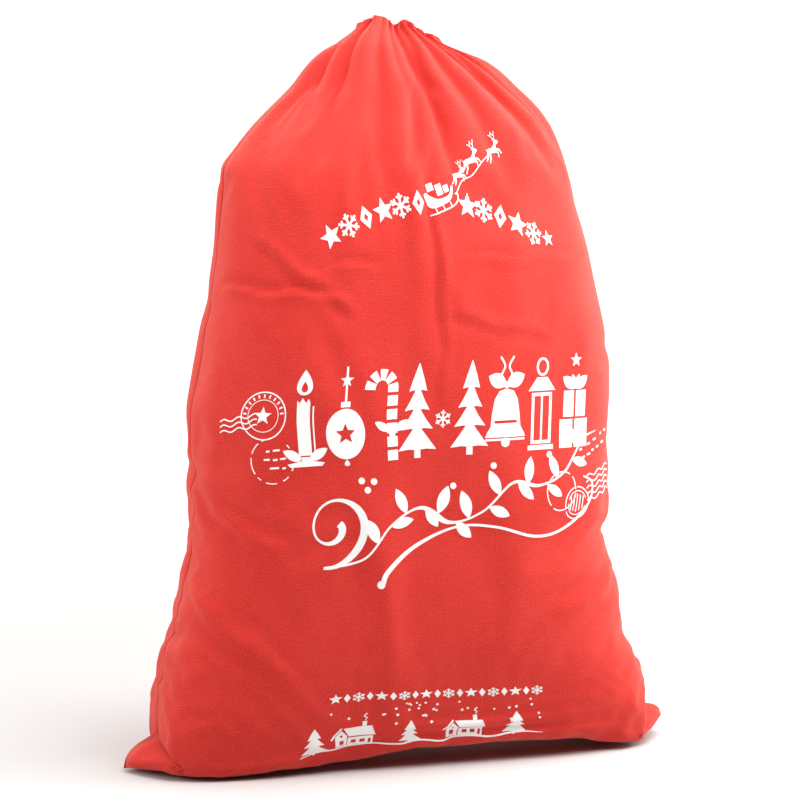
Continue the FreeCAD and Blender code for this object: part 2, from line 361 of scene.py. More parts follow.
# Each bottom ear, left and right: the height of its underside at the tip, and how tall it is.
EARS = {-1: (0.0010, 0.0280), 1: (0.0140, 0.0210)}


def ear(points, across, along, cloth, sign):
    """Pulls one bottom corner of the flat cut out into a rounded, flattened ear."""
    from_side = (1 - sign * across) * cloth.flat_width / 2
    sum_away = from_side + along
    out = 1 - sum_away / 0.079
    lean = np.clip((along - from_side) / np.maximum(sum_away, 1e-4), -1, 1)
    raised, tall = EARS[sign]
    ahead = np.clip(out, 0, 1)
    narrow = np.sqrt(np.clip(1 - ahead**2, 0, 1))
    root_x = BASE_HIGH.x - 0.009
    wrinkle = 0.0020 * np.sin(10 * lean + 4 * ahead) * narrow * (1 - lean**2)
    shaped = np.stack(
        [
            sign * (root_x + (CORNER_HIGH.x - 0.004 - root_x) * ahead),
            -0.0004 - 0.056 * (1 - np.abs(lean) ** 1.8) * (1 - ahead) ** 0.8 + wrinkle,
            0.0008 + raised * ahead + tall * narrow * ((lean + 1) / 2) ** 1.5 - 0.4 * wrinkle,
        ],
        axis=-1,
    )
    mix = smooth((out + 0.34) / 0.44)[..., None]
    return points * (1 - mix) + shaped * mix


def packet_creases(x, s):
    """How far the folds of the packet still lift the front, at places of its flat cut."""
    lift = np.zeros_like(x)
    for x0, s0, x1, s1, height, half in PACKET_CREASES:
        size = math.hypot(x1 - x0, s1 - s0)
        along = ((x - x0) * (x1 - x0) + (s - s0) * (s1 - s0)) / size
        away = ((x - x0) * (s1 - s0) - (s - s0) * (x1 - x0)) / size
        away = away + 0.002 * np.sin(along * 90)
        ends = smooth((along + 0.012) / 0.024) * smooth((size + 0.012 - along) / 0.024)
        share = away / half
        lift += height * 3.2 * share * np.exp(-(share**2)) * ends
    return lift


def sheet_points(cloth, side, creases):
    """The outer points of one panel, row by row from the bottom seam to the rim."""
    across = np.linspace(-1, 1, cloth.columns + 1)
    shares, heights = profile(cloth.rows + 1)
    visible = cloth.flat_length - cloth.hem
    along = np.linspace(0, visible, cloth.rows + 1)
    drop = np.interp(across, RIM_ACROSS, FRONT_RIM_DROP if side < 0 else BACK_RIM_DROP)
    drop = np.convolve(np.pad(drop, 3, mode="edge"), np.ones(7) / 7, mode="valid")
    rows = []
    for share, height, up, a, b, n, middle in zip(shares, heights, along, *smoothed_form(heights)):
        inset = BEND - math.sqrt(max(BEND**2 - max(BEND - height, 0) ** 2, 0))
        x, y, nx, ny, quarter = section(across, a - inset, b - (inset if share == 1 else 0), n)
        drawn = crease_depth(creases, across, height, quarter)
        wall = smooth((height - 0.03) / 0.08)
        swell = lumps(x, height, 1.0 if side < 0 else 2.6) * wall
        if side < 0:
            swell += packet_creases(across * cloth.flat_width / 2, np.full_like(across, up)) * wall
        away = (1 - np.abs(across)) * quarter
        for sign in (-1, 1):
            near = across * sign > 0
            drawn = drawn + np.where(near, side_puckers(away, height, sign), 0)
        seam = 0.0012 * np.exp(-((away / 0.005) ** 2)) * wall
        shift = swell - drawn - seam
        z = height - drop * smooth((height - 0.585) / 0.055)
        lift = 0.013 * smooth((x + 0.16) / 0.12) * (1 - smooth((x - 0.16) / 0.05)) * (1 - wall)
        rows.append(
            np.stack([x + middle + nx * shift, share * (y + ny * shift), z + lift], axis=-1)
        )
    points = np.array(rows)
    along = np.repeat(along[:, None], across.size, axis=1)
    over = np.repeat(across[None, :], cloth.rows + 1, axis=0)
    for sign in (-1, 1):
        points = ear(points, over, along, cloth, sign)
    points[:, (0, -1), 1] = 0
    if side > 0:
        points[..., 1] *= -1
    return points


def grid_faces(rows, columns, flip, start=0):
    """Quads of a grid, wound so that they face out of the front or, flipped, out of the back."""
    across = columns + 1
    quads = []
    for r in range(rows):
        for c in range(columns):
            a = start + r * across + c
            quad = (a, a + 1, a + across + 1, a + across)
            quads.append(quad[::-1] if flip else quad)
    return quads


def welded(front, back):
    """Brings the two sheets' edges together, easing the difference out over the cells beside them."""
    reach = 14
    ease = 1 - smooth(np.arange(reach) / reach)
    for edge, step in ((0, 1), (-1, -1)):
        middle = (front[:, edge] + back[:, edge]) / 2
        middle[:, 1] = 0
        for sheet in (front, back):
            gap = middle - sheet[:, edge]
            for n in range(reach):
                sheet[:, edge + step * n] += gap * ease[n]
    floor = (front[0] + back[0]) / 2
    for sheet in (front, back):
        gap = floor - sheet[0]
        for n in range(6):
            sheet[n] += gap * (1 - n / 6)
    return front, back


def filling_object():
    """The load that the cloth settles on: the plain form, a little inside it and closed at the top."""
    height = np.linspace(0.004, RIM - 0.03, 60)
    across = np.linspace(-1, 1, 41)
    points = []
    for z, a, b, n, middle in zip(height, *smoothed_form(height)):
        inside = 0.003 + 0.020 * smooth((z - SHOULDER) / (RIM - SHOULDER))
        x, y, _, _, _ = section(across, a - inside, b - inside, n)
        points += [(px + middle, py, z) for px, py in zip(x, y)]
        points += [(px + middle, -py, z) for px, py in zip(x[-2:0:-1], y[-2:0:-1])]
    size = 2 * across.size - 2
    faces = [
        (r * size + c, r * size + (c + 1) % size, (r + 1) * size + (c + 1) % size, (r + 1) * size + c)
        for r in range(len(height) - 1)
        for c in range(size)
    ]
    faces += [tuple(range(size))[::-1], tuple(range(len(points) - size, len(points)))]
    return mesh_object("filling", points, faces)


def bag_mesh(front, back):
    """One closed bag from the two grids, and where each grid's points are in it."""
    rows, wide = front.shape[:2]
    points = list(front.reshape(-1, 3))
    ahead = np.arange(rows * wide).reshape(rows, wide)
    behind = ahead.copy()
    for r in range(1, rows):
        for c in range(1, wide - 1):
            behind[r, c] = len(points)
            points.append(back[r, c])
    faces = []
    for r in range(rows - 1):
        for c in range(wide - 1):
            faces.append((ahead[r, c], ahead[r, c + 1], ahead[r + 1, c + 1], ahead[r + 1, c]))
            faces.append((behind[r, c], behind[r + 1, c], behind[r + 1, c + 1], behind[r, c + 1]))
    return np.array(points), faces, ahead, behind


def run_cloth(points, faces, frames):
    """Steps a cloth simulation of the bag over its filling, and returns where its points end."""
    bag = mesh_object("settling_bag", points, faces)
    held = bag.vertex_groups.new(name="held")
    mouth = smooth((points[:, 2] - 0.560) / 0.040)
    corner = smooth((np.abs(points[:, 0]) - (BASE_HIGH.x - 0.008)) / 0.012)
    for number, weight in enumerate(np.maximum(mouth, corner)):
        if weight > 0:
            held.add([number], float(weight), "REPLACE")
    filling = filling_object()
    deselect()
    bpy.ops.mesh.primitive_plane_add(size=2, location=(0, 0, -0.0008))
    ground = bpy.context.object
    for thing in (filling, ground):
        thing.modifiers.new("Collision", "COLLISION")
        thing.collision.thickness_outer = 0.001
        thing.collision.cloth_friction = 15
    modifier = bag.modifiers.new("Cloth", "CLOTH")
    cotton = modifier.settings
    cotton.quality = 5
    cotton.mass = 0.0008
    cotton.tension_stiffness = 20
    cotton.compression_stiffness = 12
    cotton.shear_stiffness = 5
    cotton.bending_stiffness = 0.9
    cotton.air_damping = 2
    cotton.vertex_group_mass = "held"
    cotton.shrink_min = -0.016
    modifier.collision_settings.distance_min = 0.001
    modifier.point_cache.frame_start = 1
    modifier.point_cache.frame_end = frames
    for step in range(1, frames + 1):
        bpy.context.scene.frame_set(step)
    shape = bag.evaluated_get(bpy.context.evaluated_depsgraph_get()).data
    ended = np.empty(len(points) * 3)
    shape.vertices.foreach_get("co", ended)
    for thing in (bag, filling, ground):
        bpy.data.objects.remove(thing)
    bpy.context.scene.frame_set(1)
    return ended.reshape(-1, 3)


def blurred(field, reach):
    """A grid of vectors averaged over that many cells each way."""
    window = np.hanning(2 * reach + 3)[1:-1]
    window /= window.sum()
    for axis in (0, 1):
        ends = [(reach, reach) if n == axis else (0, 0) for n in range(3)]
        padded = np.pad(field, ends, mode="edge")
        parts = [
            weight * np.take(padded, range(n, n + field.shape[axis]), axis=axis)
            for n, weight in enumerate(window)
        ]
        field = sum(parts)
    return field


def refined(field, shape):
    """A coarse grid of vectors spread over a finer grid of that shape."""
    for axis, size in enumerate(shape):
        at = np.linspace(0, field.shape[axis] - 1, size)
        low = np.minimum(at.astype(int), field.shape[axis] - 2)
        share = (at - low).reshape([-1 if n == axis else 1 for n in range(3)])
        field = np.take(field, low, axis=axis) * (1 - share) + np.take(field, low + 1, axis=axis) * share
    return blurred(field, 1)


def settled(cloth, front, back):
    """The sheets with the folds that a cloth simulation of a coarser bag gives them."""
    points, faces, ahead, behind = bag_mesh(front[::2, ::2], back[::2, ::2])
    moved = run_cloth(points, faces, cloth.frames) - points
    far = np.linalg.norm(moved, axis=1, keepdims=True)
    moved *= np.minimum(1, cloth.settle_limit / np.maximum(far, 1e-9))
    sheets = []
    for sheet, index in ((front, ahead), (back, behind)):
        folds = moved[index]
        folds = folds - 0.85 * blurred(folds, 7)
        sheets.append(sheet + refined(folds, sheet.shape[:2]))
    for sheet in sheets:
        sheet[..., 2] = np.maximum(sheet[..., 2], 0.0006)
    return welded(*sheets)


# ---------------------------------------------------------------- places on the cloth

SHEETS = {}


def sheet_grid(side):
    """The settled points of one sheet, from the bottom seam up to the rim."""
    if side not in SHEETS:
        raise RuntimeError("make the sheets first")
    return SHEETS[side]


def grid_normals(points):
    """Unit normals of a front grid, outwards."""
    normal = np.cross(np.gradient(points, axis=1), np.gradient(points, axis=0))
    return normal / np.maximum(np.linalg.norm(normal, axis=-1, keepdims=True), 1e-12)


def on_sheet(side, x, s, lift):
    """Where points of the flat cut lie: x from the middle and s from the bottom seam, in metres."""
    cloth = bpy.context.scene.sack_cloth
    points = sheet_grid(side)
    normals = grid_normals(points) * (1 if side == "front" else -1)
    column = np.clip((np.asarray(x) / cloth.flat_width + 0.5) * cloth.columns, 0, cloth.columns - 1e-6)
    visible = cloth.flat_length - cloth.hem
    row = np.clip(np.asarray(s) / visible * cloth.rows, 0, cloth.rows - 1e-6)
    c, r = column.astype(int), row.astype(int)
    u, v = (column - c)[:, None], (row - r)[:, None]
    placed = []
    for field in (points, normals):
        low = field[r, c] * (1 - u) + field[r, c + 1] * u
        high = field[r + 1, c] * (1 - u) + field[r + 1, c + 1] * u
        placed.append(low * (1 - v) + high * v)
    return placed[0] + placed[1] * lift


def open_with(thing, across):
    """Bakes a piece's transform into its mesh; across, its place on the cloth, is not used."""
    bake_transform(thing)


# ---------------------------------------------------------------- materials


def new_material(name):
    """A material with only its principled shader and output, and its node tree."""
    made = bpy.data.materials.new(name)
    made.use_nodes = True
    tree = made.node_tree
    shader = tree.nodes["Principled BSDF"]
    return made, tree, shader


def add_node(tree, kind, settings=None, links=None, **values):
    """A node with its settings, its plain input values by name, and its linked inputs."""
    node = tree.nodes.new(kind)
    for key, value in (settings or {}).items():
        setattr(node, key, value)
    for key, value in values.items():
        node.inputs[key.replace("_", " ")].default_value = value
    for key, source in (links or {}).items():
        tree.links.new(source, node.inputs[key])
    return node


def ranged(tree, source, **limits):
    """A value brought into another range."""
    return add_node(tree, "ShaderNodeMapRange", None, {"Value": source}, **limits).outputs["Result"]


def blended(tree, share, colour, other):
    """A colour that goes over to the other by a share, each of them plain or another node's output."""
    node = add_node(tree, "ShaderNodeMix", {"data_type": "RGBA"}, {"Factor": share})
    for key, value in (("A", colour), ("B", other)):
        if isinstance(value, bpy.types.NodeSocket):
            tree.links.new(value, node.inputs[key])
        else:
            node.inputs[key].default_value = opaque(value)
    return node.outputs["Result"]


def bumped(tree, links, strength, distance):
    """The normals of a surface with a height on it."""
    node = add_node(tree, "ShaderNodeBump", None, links, Strength=strength, Distance=distance)
    return node.outputs["Normal"]


def noise(tree, vector, scale, detail, **values):
    """A cloudy value over a place."""
    links = {"Vector": vector}
    return add_node(
        tree, "ShaderNodeTexNoise", None, links, Scale=scale, Detail=detail, **values
    ).outputs["Fac"]


def opaque(colour):
    return (*colour, 1.0)


def mixed(colour, other, share):
    return tuple(a * (1 - share) + b * share for a, b in zip(colour, other))


def weave_height(tree, vector, spacing):
    """The height of a plain weave whose threads are that far apart, on a UV map in metres."""
    turns = 1 / spacing
    bands = []
    for direction in ("X", "Y"):
        bands.append(
            add_node(
                tree,
                "ShaderNodeTexWave",
                {"wave_type": "BANDS", "bands_direction": direction},
                {"Vector": vector},
                Scale=turns / 20 * math.pi,
                Distortion=1.2,
                Detail=2.0,
                Detail_Scale=1.5,
            )
        )
    return add_node(
        tree,
        "ShaderNodeMath",
        {"operation": "MULTIPLY"},
        {0: bands[0].outputs["Fac"], 1: bands[1].outputs["Fac"]},
    ).outputs[0]


def brushed_cotton(name, colours):
    """Brushed plain-weave cotton, piece dyed: matte, with raised nap that lights up at the edges,
    faint cloudy dye and lint, and threads drawn at 1.4 mm, three times too coarse, so they show."""
    made, tree, shader = new_material(name)
    cloth_uv = add_node(tree, "ShaderNodeUVMap", {"uv_map": "cloth"}).outputs["UV"]
    place = add_node(tree, "ShaderNodeTexCoord").outputs["Object"]
    cloud = noise(tree, place, 17, 4, Roughness=0.62)
    lint = noise(tree, cloth_uv, 900, 3, Roughness=0.7)
    slub = add_node(tree, "ShaderNodeMapping", None, {"Vector": cloth_uv}, Scale=(90, 620, 1))
    streak = noise(tree, slub.outputs[0], 1, 2)
    base, nap = tuple(colours.cloth), tuple(colours.nap)
    dye = add_node(tree, "ShaderNodeValToRGB", None, {"Fac": cloud})
    dye.color_ramp.elements[0].position, dye.color_ramp.elements[1].position = 0.32, 0.70
    dye.color_ramp.elements[0].color = opaque(mixed(base, (0.28, 0.01, 0.008), 0.09))
    dye.color_ramp.elements[1].color = opaque(mixed(base, nap, 0.03))
    fuzz = ranged(tree, lint, From_Min=0.42, From_Max=0.78, To_Max=0.20)
    fibres = blended(tree, fuzz, dye.outputs["Color"], nap)
    shade_of_streak = ranged(tree, streak, From_Min=0.35, From_Max=0.70, To_Max=0.16)
    woven = blended(tree, shade_of_streak, fibres, mixed(base, (0.2, 0.0, 0.0), 0.5))
    tree.links.new(woven, shader.inputs["Base Color"])
    tree.links.new(ranged(tree, lint, To_Min=0.82, To_Max=0.98), shader.inputs["Roughness"])
    shader.inputs["Sheen Weight"].default_value = 0.65
    shader.inputs["Sheen Roughness"].default_value = 0.45
    shader.inputs["Sheen Tint"].default_value = opaque(nap)
    shader.inputs["Specular IOR Level"].default_value = 0.25
    threads = bumped(tree, {"Height": weave_height(tree, cloth_uv, WEAVE)}, 0.24, 0.0003)
    raised = bumped(tree, {"Height": lint, "Normal": threads}, 0.6, 0.0008)
    tree.links.new(raised, shader.inputs["Normal"])
    return made


def screen_ink(name, colours):
    """Water-based screen ink on brushed cotton: flat white that sinks between the threads, with a
    little of the red cloth showing through where nap lifted it."""
    made, tree, shader = new_material(name)
    cloth_uv = add_node(tree, "ShaderNodeUVMap", {"uv_map": "cloth"}).outputs["UV"]
    speck = noise(tree, cloth_uv, 520, 3, Roughness=0.75)
    thin = ranged(tree, speck, From_Min=0.60, From_Max=0.80, To_Max=0.55)
    printed = blended(tree, thin, colours.ink, mixed(colours.ink, colours.cloth, 0.55))
    tree.links.new(printed, shader.inputs["Base Color"])
    tree.links.new(ranged(tree, speck, To_Min=0.6, To_Max=0.8), shader.inputs["Roughness"])
    bump = bumped(tree, {"Height": weave_height(tree, cloth_uv, WEAVE)}, 0.3, 0.0002)
    tree.links.new(bump, shader.inputs["Normal"])
    return made


def spun_thread(name, colour, spacing):
    """Spun and plied yarn: slightly glossy, its plies drawn as slanting bands, darker in the grooves between
    plies as painted shade and lighter on their crowns as a painted highlight.
    """
    made, tree, shader = new_material(name)
    place = add_node(tree, "ShaderNodeTexCoord").outputs["Object"]
    plies = add_node(
        tree,
        "ShaderNodeTexWave",
        {"wave_type": "BANDS", "bands_direction": "DIAGONAL"},
        {"Vector": place},
        Scale=1 / spacing / 20 * math.pi,
        Distortion=0.8,
        Detail=1.0,
    )
    bands = plies.outputs["Fac"]
    # Painted shade and highlight: the colour darkens in the grooves between plies and lightens on their
    # crowns, along the same bands as the bump.
    ply_groove_shade, ply_crown_highlight = mixed(colour, (0, 0, 0), 0.35), mixed(colour, (1, 0.6, 0.55), 0.12)
    tree.links.new(blended(tree, bands, ply_groove_shade, ply_crown_highlight), shader.inputs["Base Color"])
    tree.links.new(ranged(tree, bands, To_Min=0.5, To_Max=0.7), shader.inputs["Roughness"])
    tree.links.new(bumped(tree, {"Height": bands}, 0.6, 0.0003), shader.inputs["Normal"])
    return made


def painted_floor(name, colour):
    """Matte painted studio floor, nearly white, that glows softly from half a metre out to 1.6 m:
    painted light, an emission that stands in for lamps washing its far part."""
    made, tree, shader = new_material(name)
    place = add_node(tree, "ShaderNodeTexCoord").outputs["Object"]
    mottle = noise(tree, place, 2, 3)
    tone = blended(tree, mottle, colour, mixed(colour, (0.7, 0.7, 0.7), 0.05))
    tree.links.new(tone, shader.inputs["Base Color"])
    shader.inputs["Roughness"].default_value = 0.9
    # Painted light: the floor emits more the further it lies from the sack, in place of lamps lighting its
    # far part.
    away = add_node(tree, "ShaderNodeVectorMath", {"operation": "LENGTH"}, {"Vector": place})
    painted_glow = add_node(
        tree,
        "ShaderNodeMapRange",
        {"interpolation_type": "SMOOTHSTEP"},
        {"Value": away.outputs["Value"]},
        From_Min=0.5,
        From_Max=1.6,
        To_Max=0.7,
    )
    shader.inputs["Emission Color"].default_value = (1, 1, 1, 1)
    tree.links.new(painted_glow.outputs["Result"], shader.inputs["Emission Strength"])
    return made


def finish_of(name):
    """The material of that name, made the first time that it is asked for."""
    found = bpy.data.materials.get(name)
    if found:
        return found
    colours = bpy.context.scene.sack_colours
    makers = {
        "brushed_red_cotton": (brushed_cotton, colours),
        "white_screen_ink": (screen_ink, colours),
        "red_sewing_thread": (spun_thread, tuple(colours.thread), 0.0012),
        "braided_red_cord": (spun_thread, tuple(colours.cord), 0.0022),
        "studio_floor": (painted_floor, tuple(colours.floor)),
    }
    maker, *settings = makers[name]
    return maker(name, *settings)


def dress(thing, material):
    thing.data.materials.clear()
    thing.data.materials.append(finish_of(material))


def set_uv(thing, flat):
    """Gives a mesh a UV map named cloth, in metres, from each vertex's place on the flat cut."""
    layer = thing.data.uv_layers.new(name="cloth")
    corners = np.empty(len(thing.data.loops), np.int32)
    thing.data.loops.foreach_get("vertex_index", corners)
    layer.data.foreach_set("uv", np.asarray(flat, np.float32)[corners].ravel())


# ---------------------------------------------------------------- the sheets


def channel(points):
    """The straight way round through the folds of the mouth: inward directions for every point of
    a sheet, and how far in from it the smooth ring through the bottoms of its folds lies."""
    even = blurred(points, 9)
    inward = -grid_normals(even)
    if points[:, points.shape[1] // 2, 1].mean() > 0:
        inward = -inward
    inward[..., 2] *= 0.25
    inward /= np.linalg.norm(inward, axis=-1, keepdims=True)
    depth = ((points - even) * inward).sum(axis=-1)
    ends = np.pad(depth, ((0, 0), (7, 7)), mode="edge")
    deepest = np.max([ends[:, n : n + depth.shape[1]] for n in range(15)], axis=0)
    deepest = blurred(deepest[..., None], 3)[..., 0]
    return inward, np.maximum(deepest - depth, 0)


def hem_rows(points, cloth):
    """Rows that turn the cloth in over the rim and take it down behind the cord to the stitching."""
    inward, fold = channel(points)
    cord = bpy.context.scene.sack_cord
    gap = 2 * cloth.thickness
    step = (cloth.flat_length - cloth.hem) / cloth.rows
    rows, run = [], []
    for turn in (0.25, 0.5, 0.75):
        away = gap * (1 - math.cos(math.pi * turn)) / 2
        rows.append(points[-1] + inward[-1] * away + (0, 0, gap / 2 * math.sin(math.pi * turn)))
        run.append(turn * gap * math.pi / 2)
    for n in range(int(cloth.hem / step)):
        round_cord = smooth((0.012 - abs(n * step - cord.below_rim)) / 0.008)
        behind = fold[-1 - n] + cord.depth + 2 * STRAND * cord.diameter + 0.0012
        away = gap * (1 - round_cord) + behind * round_cord
        rows.append(points[-1 - n] + inward[-1 - n] * away[:, None])
        run.append(gap * math.pi / 2 + n * step)
    return np.array(rows), np.array(run) + cloth.flat_length - cloth.hem


def sheet_object(side, cloth):
    """One sheet of the sack as a mesh with its hem, thickness, flat-cut UV map and finish."""
    points = sheet_grid(side)
    turned, run = hem_rows(points, cloth)
    whole = np.concatenate([points, turned])
    along = np.concatenate([np.linspace(0, cloth.flat_length - cloth.hem, cloth.rows + 1), run])
    across = np.linspace(-1, 1, cloth.columns + 1)
    flat = np.stack(np.meshgrid(across * cloth.flat_width / 2, along), axis=-1).reshape(-1, 2)
    thing = mesh_object(
        f"{side}_sheet",
        whole.reshape(-1, 3),
        grid_faces(len(whole) - 1, cloth.columns, side == "back"),
    )
    set_uv(thing, flat)
    over = np.tile(across, len(whole))
    lining = thing.modifiers.new("Solidify", "SOLIDIFY")
    lining.thickness = cloth.thickness
    lining.offset = -1
    finish_modifiers(thing)
    shade(thing)
    dress(thing, "brushed_red_cotton")
    open_with(thing, np.tile(over, 2))
    return thing


class SACK_OT_sheets(bpy.types.Operator):
    """Shapes the front and back sheets from their flat cut and settles them over a full load"""

    bl_idname = "sack.sheets"
    bl_label = "Cloth sheets"

    def execute(self, context):
        cloth = context.scene.sack_cloth
        front = sheet_points(cloth, -1, FRONT_CREASES)
        back = sheet_points(cloth, 1, BACK_CREASES)
        front, back = welded(front, back)
        front, back = settled(cloth, front, back)
        SHEETS["front"], SHEETS["back"] = front, back
        for side in ("front", "back"):
            thing = sheet_object(side, cloth)
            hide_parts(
                f"{side}_panel",
                f"{side}_shoulder",
                f"{side}_casing",
                "left_bottom_corner",
                "right_bottom_corner",
            )
        return {"FINISHED"}


# ---------------------------------------------------------------- seams, stitching and cord


def tube_piece(name, paths, radius, smoothness=2):
    """A mesh of round tubes that follow smooth curves with those control points."""
    curve = bpy.data.curves.new(name, "CURVE")
    curve.dimensions = "3D"
    curve.bevel_depth = radius
    curve.bevel_resolution = smoothness
    curve.use_fill_caps = True
    for path in paths:
        spline = curve.splines.new("NURBS")
        spline.points.add(len(path) - 1)
        spline.points.foreach_set("co", np.insert(np.asarray(path), 3, 1, axis=1).ravel())
        spline.order_u = 3
        spline.use_endpoint_u = True
        spline.resolution_u = 3
    holder = bpy.data.objects.new(name, curve)
    bpy.context.scene.collection.objects.link(holder)
    bpy.context.view_layer.update()
    mesh = bpy.data.meshes.new_from_object(holder)
    bpy.data.objects.remove(holder)
    thing = bpy.data.objects.new(name, mesh)
    bpy.context.scene.collection.objects.link(thing)
    shade(thing)
    return thing


def line_frames(path):
    """Two unit vectors square to each step of a path, that don't spin along it."""
    ahead = np.gradient(path, axis=0)
    ahead /= np.linalg.norm(ahead, axis=1, keepdims=True)
    side = np.cross(ahead[0], (0.31, 0.17, 0.93))
    sides = []
    for direction in ahead:
        side = side - direction * np.dot(side, direction)
        side = side / np.linalg.norm(side)
        sides.append(side)
    sides = np.array(sides)
    return sides, np.cross(ahead, sides)


def resampled(path, step):
    """The same path with its points that far apart."""
    run = np.concatenate([[0], np.cumsum(np.linalg.norm(np.diff(path, axis=0), axis=1))])
    at = np.linspace(0, run[-1], max(int(run[-1] / step), 3))
    return np.stack([np.interp(at, run, path[:, k]) for k in range(path.shape[1])], axis=-1)


def twisted_strands(path, cord):
    """The paths of the strands of a twisted cord that follows a path."""
    step = 0.0012
    fine = resampled(np.asarray(path, float), step)
    side, up = line_frames(fine)
    run = np.arange(len(fine)) * step
    strands = []
    for n in range(cord.strands):
        turn = (2 * math.pi * (run / cord.lay + n / cord.strands))[:, None]
        strands.append(fine + cord.diameter * STRAND * (side * np.cos(turn) + up * np.sin(turn)))
    return strands


def seam_layers(name, edge, inward, apart, cloth):
    """The two layers of cloth outside a seam, turned in, and the raw edge that they share."""
    points, faces, flat = [], [], []
    shares = np.array([0, 0.35, 0.7, 1.0])
    run = np.arange(len(edge)) * EDGE_STEP
    raw = edge + inward * cloth.allowance
    for layer in (-1, 1):
        start = len(points)
        ripple = 0.0005 * np.sin(run * 310) + 0.0004 * np.sin(run * 173 + 1.3)
        for share in shares:
            away = apart * (layer * cloth.thickness * 0.62 + ripple * share)[:, None]
            points += list(edge + inward * cloth.allowance * share + away)
            flat += list(np.stack([share * cloth.allowance + 0 * run, run], axis=-1))
        size = len(edge)
        for r in range(len(shares) - 1):
            for c in range(size - 1):
                a = start + r * size + c
                faces.append((a, a + 1, a + size + 1, a + size))
    thing = mesh_object(name, points, faces)
    set_uv(thing, np.array(flat))
    thickness = thing.modifiers.new("Solidify", "SOLIDIFY")
    thickness.thickness = cloth.thickness
    thickness.offset = 0
    finish_modifiers(thing)
    shade(thing, math.radians(50))
    dress(thing, "brushed_red_cotton")
    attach(thing, "root")
    return thing, raw


def overlock(name, raw, inward, apart, cloth):
    """Thread that wraps over a raw edge, one loop every few millimetres."""
    edge = resampled(raw, 0.0028)
    deep, out = 0.0045, cloth.thickness * 1.35
    path = []
    for n, place in enumerate(edge[:-1]):
        half = (edge[n] + edge[n + 1]) / 2
        path += [place - inward * deep + apart * out, place + inward * 0.0006]
        path += [half - inward * deep - apart * out, half + inward * 0.0006]
    thing = tube_piece(name, [path], 0.00022, 1)
    dress(thing, "red_sewing_thread")
    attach(thing, "root")
    return thing


class SACK_OT_seams(bpy.types.Operator):
    """Sews the seam allowances and their overlocked edges inside the sides and bottom"""

    bl_idname = "sack.seams"
    bl_label = "Seams"

    def execute(self, context):
        cloth = context.scene.sack_cloth
        front = sheet_grid("front")
        seams = []
        for side, column, sign in (("left", 0, 1), ("right", -1, -1)):
            low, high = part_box(f"{side}_side_seam")
            line = front[:, column]
            line = line[(line[:, 2] > low.z) & (line[:, 2] < high.z)]
            inward = np.array([float(sign), 0, 0])
            seams.append((side, f"{side}_side_seam", line + inward * 0.0022, inward))
        low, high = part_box("bottom_seam")
        across = np.arange(low.x, high.x, EDGE_STEP)
        line = np.stack([across, 0 * across, 0 * across + 0.0026], axis=-1)
        seams.append(("bottom", "bottom_seam", line, np.array([0, 0, 1.0])))
        apart = np.array([0, 1.0, 0])
        for name, node, line, inward in seams:
            layers, raw = seam_layers(f"{name}_seam_allowance", line, inward, apart, cloth)
            thread = overlock(f"{name}_seam_overlock", raw, inward, apart, cloth)
            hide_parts(node)
            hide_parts(node)
        return {"FINISHED"}


class SACK_OT_hem_stitching(bpy.types.Operator):
    """Runs the row of stitches that closes the cord's channel below the rim"""

    bl_idname = "sack.hem_stitching"
    bl_label = "Hem stitching"

    def execute(self, context):
        cloth = context.scene.sack_cloth
        setting = context.scene.sack_stitching
        row = cloth.flat_length - cloth.hem - setting.below_rim
        reach = cloth.flat_width / 2 - 0.004
        starts = np.arange(-reach, reach - setting.length, setting.length + setting.gap)
        rows = np.full(len(starts), row)
        deselect()
        bpy.ops.mesh.primitive_uv_sphere_add(segments=8, ring_count=6, radius=setting.thread)
        pattern = context.object
        ball = np.array([v.co for v in pattern.data.vertices])
        skin = [tuple(p.vertices) for p in pattern.data.polygons]
        bpy.data.objects.remove(pattern)
        for side in ("front", "back"):
            firsts = on_sheet(side, starts, rows, 0.0)
            lasts = on_sheet(side, starts + setting.length, rows, 0.0)
            normals = on_sheet(side, starts, rows, 1.0) - firsts
            points, faces, middles = [], [], []
            for start, first, last, normal in zip(starts, firsts, lasts, normals):
                half = (last - first) / 2
                third = np.cross(half / np.linalg.norm(half), normal)
                across, up, out = (ball[:, k : k + 1] for k in range(3))
                stitch = (first + last) / 2 + across / setting.thread * half + up * third + out * normal
                faces += [tuple(len(points) + i for i in corners) for corners in skin]
                points += list(stitch)
                middles += [start + setting.length / 2] * len(stitch)
            thing = mesh_object(f"{side}_hem_stitches", points, faces)
            pick(thing)
            bpy.ops.object.mode_set(mode="EDIT")
            bpy.ops.mesh.select_all(action="SELECT")
            bpy.ops.mesh.normals_make_consistent(inside=False)
            bpy.ops.object.mode_set(mode="OBJECT")
            shade(thing)
            dress(thing, "red_sewing_thread")
            open_with(
                thing, np.array(middles) / (cloth.flat_width / 2)
            )
            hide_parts(f"{side}_hem_stitching")
        return {"FINISHED"}


def channel_line(side, cloth, cord):
    """The cord's way through the hem of one sheet, and how far across the sheet each point is."""
    points = sheet_grid(side)
    step = (cloth.flat_length - cloth.hem) / cloth.rows
    row = -1 - round(cord.below_rim / step)
    inward, fold = channel(points)
    line = points[row] + inward[row] * (fold[row] + cord.depth)[:, None]
    line = blurred(line[None], 3)[0]
    across = np.linspace(-1, 1, cloth.columns + 1)
    return line[3:-3:2], across[3:-3:2]


